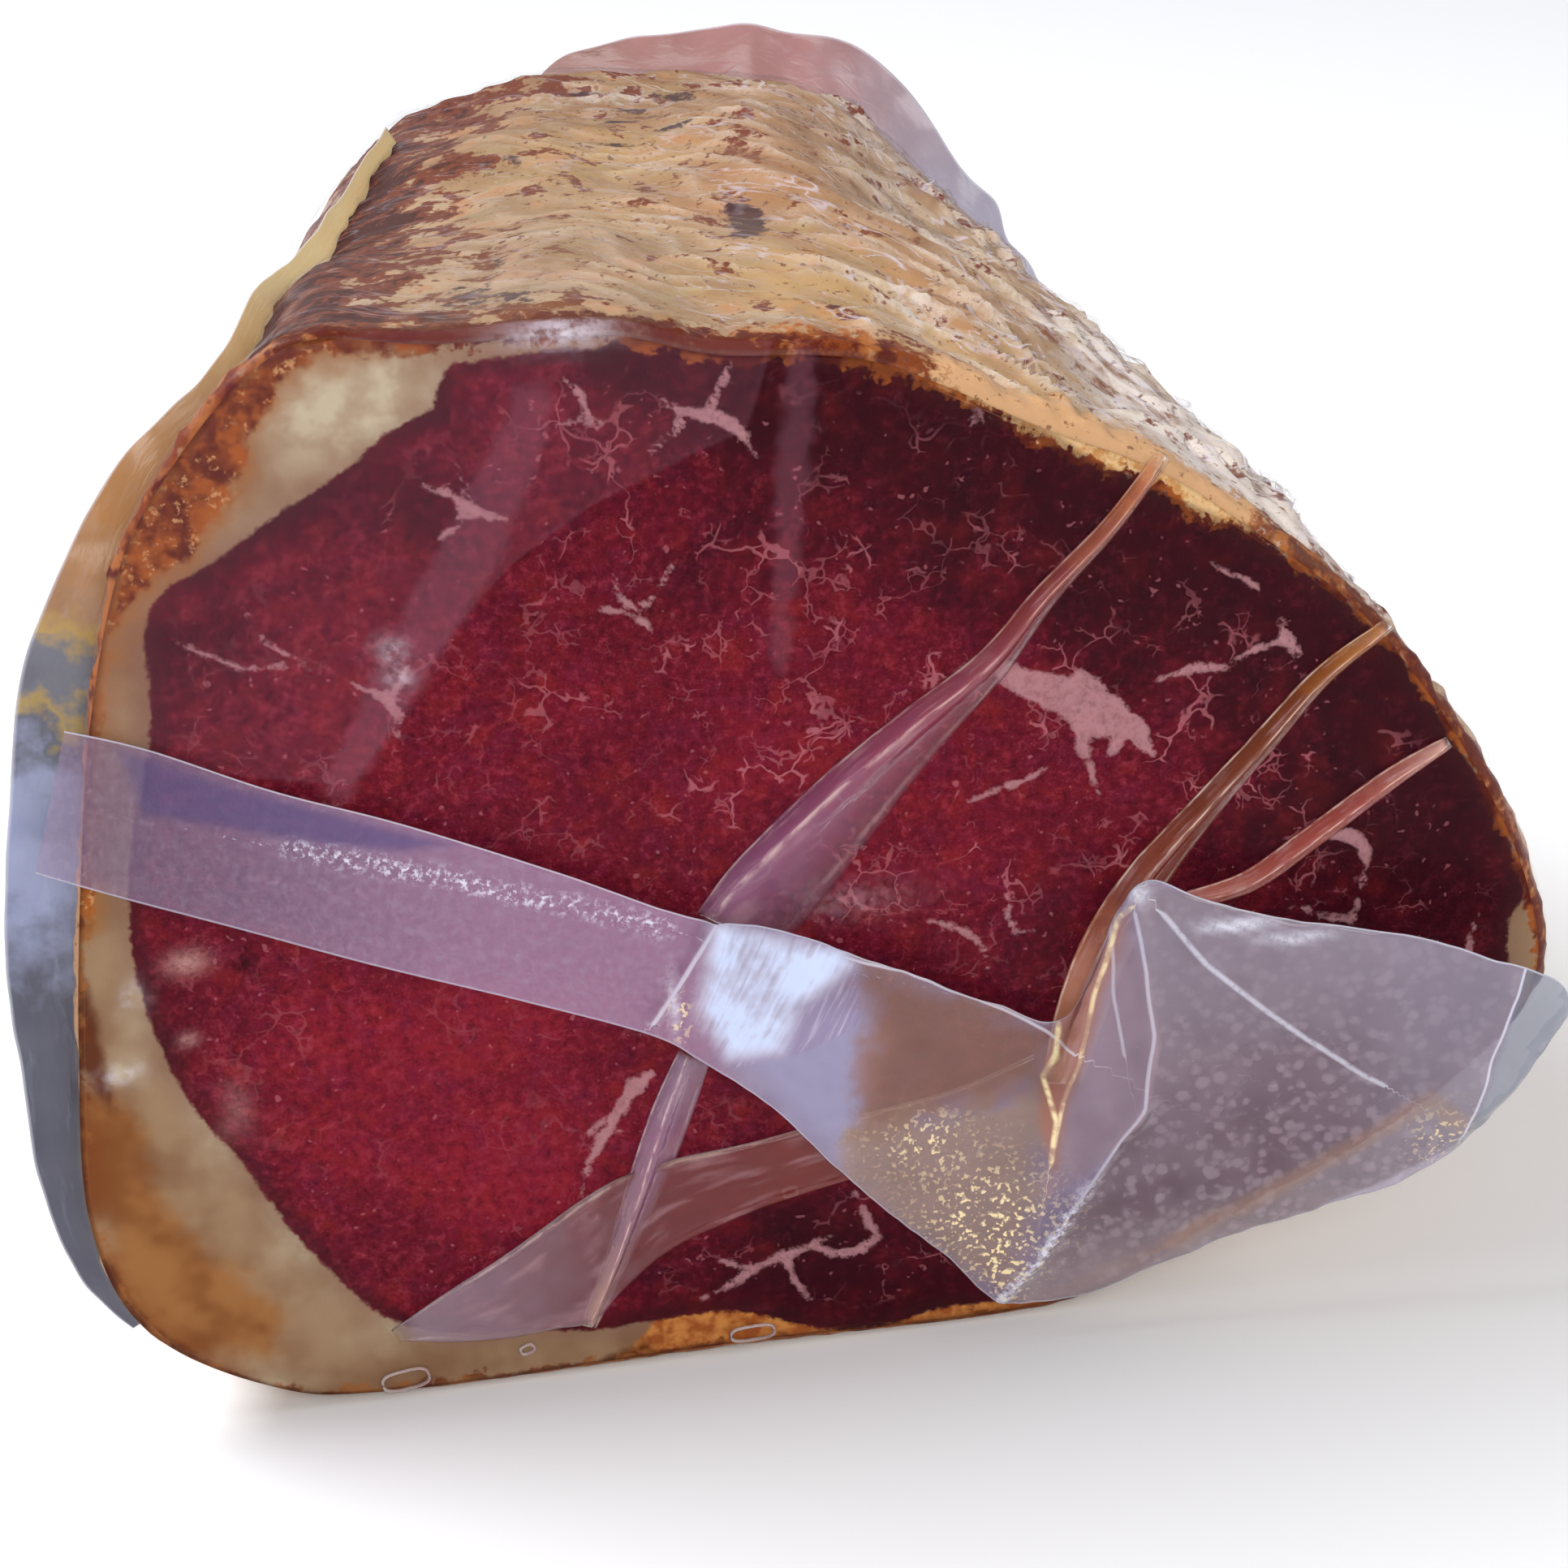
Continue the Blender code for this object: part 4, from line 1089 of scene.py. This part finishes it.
# Lines on the mouth film, where it is creased, has painted glints or ends: (x, z) in mm
MOUTH_LINES = {
    "sparkle_gap": ((-66, 93.5), (-52, 88.5), (-45, 86), (-38, 83), (-28, 79.5), (-18, 75.5)),
    "ridge_gap": ((46, 72), (47.5, 62), (48.5, 52), (47, 40), (40, 28), (33, 16), (26, 7)),
    "crease_gap": ((50, 71), (56, 62.5), (68, 51), (81, 40.5)),
    "end_gap": ((99.5, 60), (98, 52), (96.5, 46), (94.5, 37), (93, 29)),
    "streak_gap": ((52, 15), (58, 18.4), (71.5, 26), (80, 32), (88, 37), (92, 33)),
    "twist_gap": ((-20.5, 61.5), (-11, 75.5)),
    "gold_glint_0": ((36, 53), (35.2, 48.3), (33.4, 45), (35, 37.6), (33.9, 30.8)),
    "gold_glint_1": ((45.5, 72.5), (44.1, 70.4), (41.1, 60.5), (38, 47.8), (36, 41), (34.4, 33)),
    "pale_line_0": ((4, 69), (14.3, 64.5), (25, 58), (37.3, 49.6)),
    "pale_line_1": ((43, 70), (43.2, 58), (44.6, 48)),
}
# Creases that stand up: height and half width in mm
RAISED = {"ridge_gap": (1.0, 1.6), "crease_gap": (0.7, 1.0), "twist_gap": (0.9, 1.1)}
flat = np.stack([x.ravel(), z.ravel()], -1)
rise = 0
for line_name, (crease_height, half_width) in RAISED.items():
    gap = line_distance(flat, MOUTH_LINES[line_name]).reshape(x.shape)
    rise = rise + crease_height * np.exp(-(gap / half_width) ** 2)
# Waves and crinkles of the loose part: spacing and height in mm, and where they start and are full
for spacing, wave_height, start, full in ((9, 1.1, 2, 20), (3, 0.35, -30, 0)):
    rise = rise + noise_at(mouth_places, spacing * MM) * wave_height * ramp(x, start, full)
mouth_places[..., 1] -= np.clip(rise, -0.6, 2) * MM
mouth_film = add_sheet("mouth_film_sheet", mouth_places, 0.2 * MM)

# Its facets and patches, as outlines; the violet band and the shine facet are painted reflections
MOUTH_ZONES = {
    "violet_reflection": (
        (-86, 111), (-83, 109.5), (-72, 103.5), (-61, 98.5), (-52, 94.5), (-44, 91), (-52, 91), (-62, 93.5),
        (-74, 97.5), (-84, 101),
    ),
    "twist": (
        (-11, 76), (-3, 75), (5, 71), (8.5, 66), (8, 57), (-0.7, 53.5), (-10, 52.5), (-15, 56), (-21, 61.5),
        (-16, 68),
    ),
    "amber": ((8, 67), (16, 64), (24, 59), (36, 53), (36, 42), (30, 41), (18, 40), (7, 38.5), (8, 50)),
    "embossed": ((5, 40), (18, 41), (31, 42), (36, 40), (33, 24), (27, 8), (16, 15), (3, 31)),
    "tail": (
        (46, 76), (70, 69), (99.5, 60), (97.5, 46), (93, 28), (70, 16), (40, 2), (25, 5), (33, 16), (40, 28),
        (47, 40), (48.5, 52),
    ),
    "ridge_facet": ((45, 70), (39, 51), (34.5, 43), (32, 24), (38, 28), (47, 37), (49.5, 50), (48, 62)),
    "lavender": ((-10, 55), (2, 62), (8, 60), (11, 54), (7, 39), (4, 33), (-4, 44)),
    "column": ((42, 66), (45, 71), (42, 60), (38.5, 48), (36.5, 41), (34.5, 30), (32.5, 38), (34.5, 48), (36, 52)),
    "shine_facet": ((-11, 75.6), (6, 69.6), (7.4, 66.6), (-0.6, 61.5), (-3.4, 54.6), (-10.6, 54.6), (-14.6, 61.5)),
}
# Soft spots of painted highlights and painted glints: (x, z, half width, half height, strength)
MOUTH_SPOTS = {
    "highlight": (
        (46.6, 74.4, 1.5, 1.4, 0.9), (60, 68.5, 5, 0.9, 1.0), (68, 66, 5, 0.8, 0.7), (-17.6, 64, 0.8, 4.5, 0.7),
    ),
    "glint": (
        (25, 22, 9, 8, 1.2), (16, 36, 7, 5, 0.8), (27, 12, 4, 5, 0.8), (90, 30, 4, 5, 0.8), (-17, 62, 1.6, 4, 1.0),
    ),
}
at = places_of(mouth_film)
flat = at[:, [0, 2]]
mark_each(mouth_film, MOUTH_ZONES, depth_inside, flat)
mark_each(mouth_film, MOUTH_LINES, line_offset, flat)
mark_each(mouth_film, MOUTH_SPOTS, spots, flat)
mark(mouth_film, "rightness", flat[:, 0])
mark(mouth_film, "height", flat[:, 1])


def mouth_film_finish():
    look = FilmLook("mouth_film", 0.12, 0.65)
    right = look.mark("rightness")
    fine = look.grain(0.9, 3, 0.7)
    cloud = look.grain(6)
    # Welded strip: lavender, milky, paler towards the right, with a painted blue-violet reflection along its upper
    # edge
    colour = blend(right.span(-95, -20), (142, 112, 150), (176, 128, 166))
    amount = right.span(-92, -40, 0.24, 0.42)
    violet_reflection = look.mark("violet_reflection").span(-0.8, 1.2)
    hatch = look.streaks(260, 14, detail=2)
    amount = amount + violet_reflection * 0.1
    # Painted sparkles where the strip's upper edge is crumpled.
    crumple_sparkle = abs(look.mark("sparkle_gap")).span(0, 2.6, 1, 0) * look.grain(1.0, 3, 0.7).span(0.5, 0.62)
    colour = coats(colour, (
        (fine.span(0.4, 0.7, 0, 0.4), (204, 168, 200)),
        (hatch.span(0.5, 0.7, 0, 0.35), (200, 176, 206)),
        (violet_reflection * 0.75, (78, 64, 132)),
    ))
    # Loose part beyond the twist
    beyond = right.span(-16, -8)
    loose = blend(cloud.span(0.35, 0.65), (150, 134, 164), (176, 160, 190))
    amber = (look.mark("amber") + cloud.span(0.3, 0.7, -2, 2)).span(-3, 4)
    lavender = look.mark("lavender").span(-4, 4)
    embossed = (look.mark("embossed") + cloud.span(0.3, 0.7, -2, 2)).span(-3, 4)
    facet = look.mark("twist").span(-0.3, 0.6)
    tail = look.mark("tail").span(-0.6, 0.6)
    blobs = look.node("TexVoronoi", {"Vector": look.place, "Scale": 500}, "Distance", feature="F1")
    blobs = blobs + look.grain(3, 3, 0.65).span(0.3, 0.7, -0.22, 0.22)
    mottled = blend(blobs.span(0.15, 0.6), (150, 130, 142), (106, 82, 96))
    loose = coats(loose, (
        (lavender, (164, 158, 192)),
        (amber * 0.9, (164, 112, 92)),
        (embossed * 0.8, (168, 138, 118)),
        (facet * 0.7, (158, 140, 178)),
    ))
    mottled = coats(mottled, (
        (look.grain(14).span(0.35, 0.6, 0, 0.5), (140, 122, 134)),
        (look.mark("height").span(30, 66, 0, 0.6), (156, 142, 160)),
        (look.mark("height").span(26, 10, 0, 0.6), (160, 144, 148)),
        (right.span(66, 100, 0, 0.5), (152, 144, 166)),
    ))
    ridge_facet = look.mark("ridge_facet").span(-0.5, 0.8)
    column = look.mark("column").span(-1.2, 1.0)
    behind = look.mark("tail").span(-0.2, 0.4, 1, 0) * right.span(90, 94)
    streak = abs(look.mark("streak_gap")).span(0.4, 2.6, 0.4, 0)
    loose = coats(loose, (
        (tail, mottled),
        (ridge_facet * 0.6, (176, 148, 162)),
        (column * 0.8, (190, 118, 92)),
        (behind, (120, 128, 150)),
        (streak, (170, 128, 96)),
    ))
    loose_amount = 0.42 + tail * 0.24 + lavender * 0.22 + embossed * 0.1 - amber * 0.1
    amount = look.node("Mix", {0: beyond, 2: amount, 3: loose_amount}, data_type="FLOAT")
    colour = blend(beyond, colour, loose)
    # Painted highlights and glints: a painted reflection on the twist facet, painted shine on its ribs, painted
    # highlight spots, painted sparkles on the crumples, pale lines on creases, ends and edges, and gold glints
    ribs = look.node("Mix", {0: facet * 1.0, 2: 0.5, 3: look.streaks(240, 3, bend=0.4)}, data_type="FLOAT")
    # The shine facet is a painted reflection, blue-white and broken up by ribs and cloud.
    bright = look.mark("shine_facet").span(-2.2, 2.4)
    bright = bright * (cloud + ribs * 0.6).span(0.4, 1.0, 0.35, 1.15)
    rib_shine = facet * beyond * ribs.span(0.45, 0.7, 0, 0.3)
    white = bright.most(rib_shine).most(look.mark("highlight") * fine.span(0.3, 0.6, 0.5, 1))

    def thin_line(name, inner, outer, strength):
        return abs(look.mark(name)).span(inner, outer, strength, 0)

    crinkle = thin_line("ridge_gap", 0.2, 1.8, 1) * look.grain(0.9, 3, 0.7).span(0.45, 0.6)
    crinkle = crinkle * look.mark("height").span(34, 18)
    for layer, strength in (
        (crumple_sparkle, 0.9),
        (thin_line("ridge_gap", 0.1, 0.4, 0.5).most(crinkle), 0.9),
        (thin_line("crease_gap", 0.1, 0.6, 0.8) * fine.span(0.3, 0.5, 0.5, 1), 0.7),
        (thin_line("end_gap", 0.08, 0.3, 0.8), 0.9),
        (thin_line("twist_gap", 0.1, 0.5, 0.9), 0.7),
        (look.mark("edge_gap").span(0.1, 0.26, 1, 0), 0.6),
        (thin_line("pale_line_0", 0.08, 0.4, 0.8).most(thin_line("pale_line_1", 0.08, 0.4, 0.5)), 0.8),
    ):
        white = white.most(layer * strength)
    white = white.least(1.0)
    # The gold lines are painted glints on creases of the amber facet.
    gold_glints = thin_line("gold_glint_0", 0.1, 0.6, 1).most(thin_line("gold_glint_1", 0.1, 0.5, 0.8))
    glint = look.mark("glint") * look.grain(0.8, 1, 0.5).span(0.58, 0.64)
    glint = glint.most(gold_glints * look.grain(3).span(0.4, 0.6, 0.3, 1))
    colour = coats(colour, (
        (white, blend(bright, (226, 226, 240), (206, 218, 250))),
        (glint, (255, 232, 180)),
    ))
    amount = amount + white.most(glint) * 0.5
    look.milk(colour, 0.25, amount.least(0.95), ribs * 0.5 + cloud, 0.4, 0.6)
    return look.material


mouth_film.data.materials.append(mouth_film_finish())
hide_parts("mouth_film")

# Side margin
# The bag's long side seam, where its two sheets run on past the meat at the left. It is empty doubled film that
# stands out from the rim in a narrow web and narrows to nothing along the top.
SIDE_MARGIN = (  # turn in degrees, depth and width in mm
    (-149, 6, 3.5), (-156, 6, 6), (-168, 6, 8.5), (-180, 6, 9.5), (-191, 6, 10), (-202, 6, 10), (-209, 7, 8.5),
    (-216, 10, 6), (-222, 16, 4), (-226, 25, 3), (-230, 40, 2.6), (-232, 58, 2.2), (-235, 80, 2),
    (-238, 105, 1.6), (-242, 135, 1.2),
)
# Its root lies inside the rind, so that no gap shows, and the web is that much wider, in mm
SIDE_ROOT = -1.2
SIDE_SPARE = 2.1
along = np.linspace(0, len(SIDE_MARGIN) - 1, 281)
angle, depth, width = curve_at(SIDE_MARGIN, along).T
turn = np.remainder(np.radians(angle) + math.pi, math.tau) - math.pi
across = np.linspace(0, 1, 21)[None]
grown = (SIDE_ROOT + (width[:, None] + SIDE_SPARE) * across) * MM
margin_places = block_places(turn[:, None], depth[:, None] * MM, grown)
margin_places[..., 1] += noise_at(margin_places, 7 * MM) * across * 1.6 * MM
side_margin = add_sheet("side_margin_sheet", margin_places)

# End margin
# The closed end of the bag, a web of empty doubled film that leans back behind the meat.
END_MARGIN = (  # turn in degrees, depth and width in mm
    (100, 153, -2), (96, 154, 1.6), (89, 154, 4.5), (80, 154, 6.5), (68, 154, 8.5), (56, 154, 9.5),
    (44, 154, 8.5), (32, 154, 6.5), (20, 154, 4.5), (10, 153, 2.5),
)
END_MARGIN_LEAN = 0.55
END_ROOT = -2 * MM
END_SPARE = 3.3
along = np.linspace(0, len(END_MARGIN) - 1, 181)
angle, depth, width = curve_at(END_MARGIN, along).T
turn = np.radians(angle)[:, None]
quarter = np.arcsin((depth[:, None] * MM - BLOCK_LENGTH) / BACK_DOME)
root = block_places(turn, BLOCK_LENGTH + BACK_DOME * np.sin(quarter), END_ROOT, np.cos(quarter) ** DOME_SQUARENESS)
outward = np.stack([np.cos(turn), END_MARGIN_LEAN + 0 * turn, np.sin(turn)], -1)
outward /= np.linalg.norm(outward, axis=-1, keepdims=True)
across = np.linspace(0, 1, 31)[None, :, None]
end_places = root + outward * (width[:, None, None] + END_SPARE) * MM * across
end_places[..., 1] += noise_at(end_places, 8 * MM) * across[..., 0] * 1.8 * MM
end_margin = add_sheet("end_margin_sheet", end_places)


def margin_finish(name, colours, share):
    """Empty doubled film: a row of colours along it, long creases, and a pale welded edge."""
    look = FilmLook(name, 0.15, 0.4)
    creases = look.streaks(34, 6, bend=0.6)
    colour = coats(look.colour_row(colours, 5, 0.02), (
        (creases.span(0.55, 0.8, 0, 0.15), (190, 190, 206)),
        (look.mark("across").span(0.95, 1.0) * 0.6, (222, 220, 232)),
    ))
    amount = creases.span(0.3, 0.7, share - 0.03, share + 0.03)
    look.milk(colour, 0.25, amount, creases, 0.2, 0.8)
    return look.material


SIDE_COLOURS = (
    (0.0, (80, 80, 96)), (0.12, (72, 72, 90)), (0.2, (74, 74, 92)), (0.25, (146, 152, 186)), (0.31, (154, 160, 194)),
    (0.34, (96, 98, 114)), (0.355, (176, 146, 80)), (0.37, (110, 110, 122)), (0.39, (110, 110, 122)),
    (0.405, (186, 150, 78)), (0.43, (168, 124, 88)), (0.5, (190, 138, 88)), (0.62, (196, 156, 116)),
    (0.8, (226, 204, 152)), (1.0, (222, 200, 150)),
)
END_COLOURS = (
    (0.0, (176, 140, 134)), (0.25, (172, 124, 120)), (0.45, (178, 126, 126)), (0.55, (170, 146, 156)),
    (0.7, (172, 166, 186)), (1.0, (164, 164, 190)),
)
side_margin.data.materials.append(margin_finish("side_margin", SIDE_COLOURS, 0.9))
end_margin.data.materials.append(margin_finish("end_margin", END_COLOURS, 0.86))
for sheet, node in ((side_margin, "side_margin"), (end_margin, "end_margin")):
    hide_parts(node)

# Stage
# A plain pale floor, a soft lamp like a window behind on the left, weaker ones in front and on the right, and a
# faint even light from all round.
FLOOR_HALF = 6
stage_mesh = bmesh.new()
bmesh.ops.create_grid(stage_mesh, x_segments=1, y_segments=1, size=FLOOR_HALF)
stage_data = bpy.data.meshes.new("floor")
stage_mesh.to_mesh(stage_data)
stage_mesh.free()
floor = bpy.data.objects.new("floor", stage_data)
bpy.context.scene.collection.objects.link(floor)
floor_look = Look("floor")
fill(floor_look.shader, {"Base Color": paint(248, 248, 250), "Roughness": 0.8})
floor.data.materials.append(floor_look.material)


def add_light(name, spot, target, size, power, colour=(1, 1, 1)):
    """A soft rectangular lamp that looks at its target."""
    lamp = bpy.data.lights.new(name, "AREA")
    lamp.shape = "RECTANGLE"
    lamp.size, lamp.size_y = size
    lamp.energy = power
    lamp.color = colour
    thing = bpy.data.objects.new(name, lamp)
    thing.location = spot
    thing.rotation_euler = (Vector(target) - Vector(spot)).to_track_quat("-Z", "Y").to_euler()
    bpy.context.scene.collection.objects.link(thing)


middle = (0, 0, 0.08)
add_light("window", (-0.9, 0.35, 1.3), middle, (0.9, 0.7), 26, (0.96, 0.98, 1.0))
add_light("front_fill", (0.25, -1.4, 0.9), middle, (1.2, 0.8), 13, (1.0, 0.98, 0.95))
add_light("right_fill", (1.2, -0.2, 0.8), middle, (0.7, 0.7), 6, (1.0, 0.96, 0.9))
world = bpy.data.worlds.new("studio")
world.use_nodes = True
world.node_tree.nodes["Background"].inputs["Color"].default_value = (0.9, 0.93, 1.0, 1)
world.node_tree.nodes["Background"].inputs["Strength"].default_value = 0.3
bpy.context.scene.world = world

# Camera
# It stands in front, a little to the left of the cut face, and looks down on it at 28 degrees. It leans over by
# less than 4 degrees, as the photo's does.
AZIMUTH = math.radians(-6)
ELEVATION = math.radians(28)
ROLL = math.radians(-3.8)
DISTANCE = 0.42
TARGET_HEIGHT = 0.0937
target = Vector(SHIFT) + Vector((0, 0, TARGET_HEIGHT))
level_reach = math.cos(ELEVATION)
back = Vector((math.sin(AZIMUTH) * level_reach, -math.cos(AZIMUTH) * level_reach, math.sin(ELEVATION)))
level = (-back).cross(Vector((0, 0, 1))).normalized()
upright = back.cross(level)
right = level * math.cos(ROLL) + upright * math.sin(ROLL)
up = back.cross(right)
camera = bpy.data.objects.new("camera", bpy.data.cameras.new("camera"))
camera.data.lens = 72
camera.data.clip_start = 0.01
camera.matrix_world = Matrix.Translation(target + back * DISTANCE) @ Matrix((right, up, back)).transposed().to_4x4()
bpy.context.scene.collection.objects.link(camera)
bpy.context.scene.camera = camera
bpy.context.scene.view_settings.view_transform = "Standard"
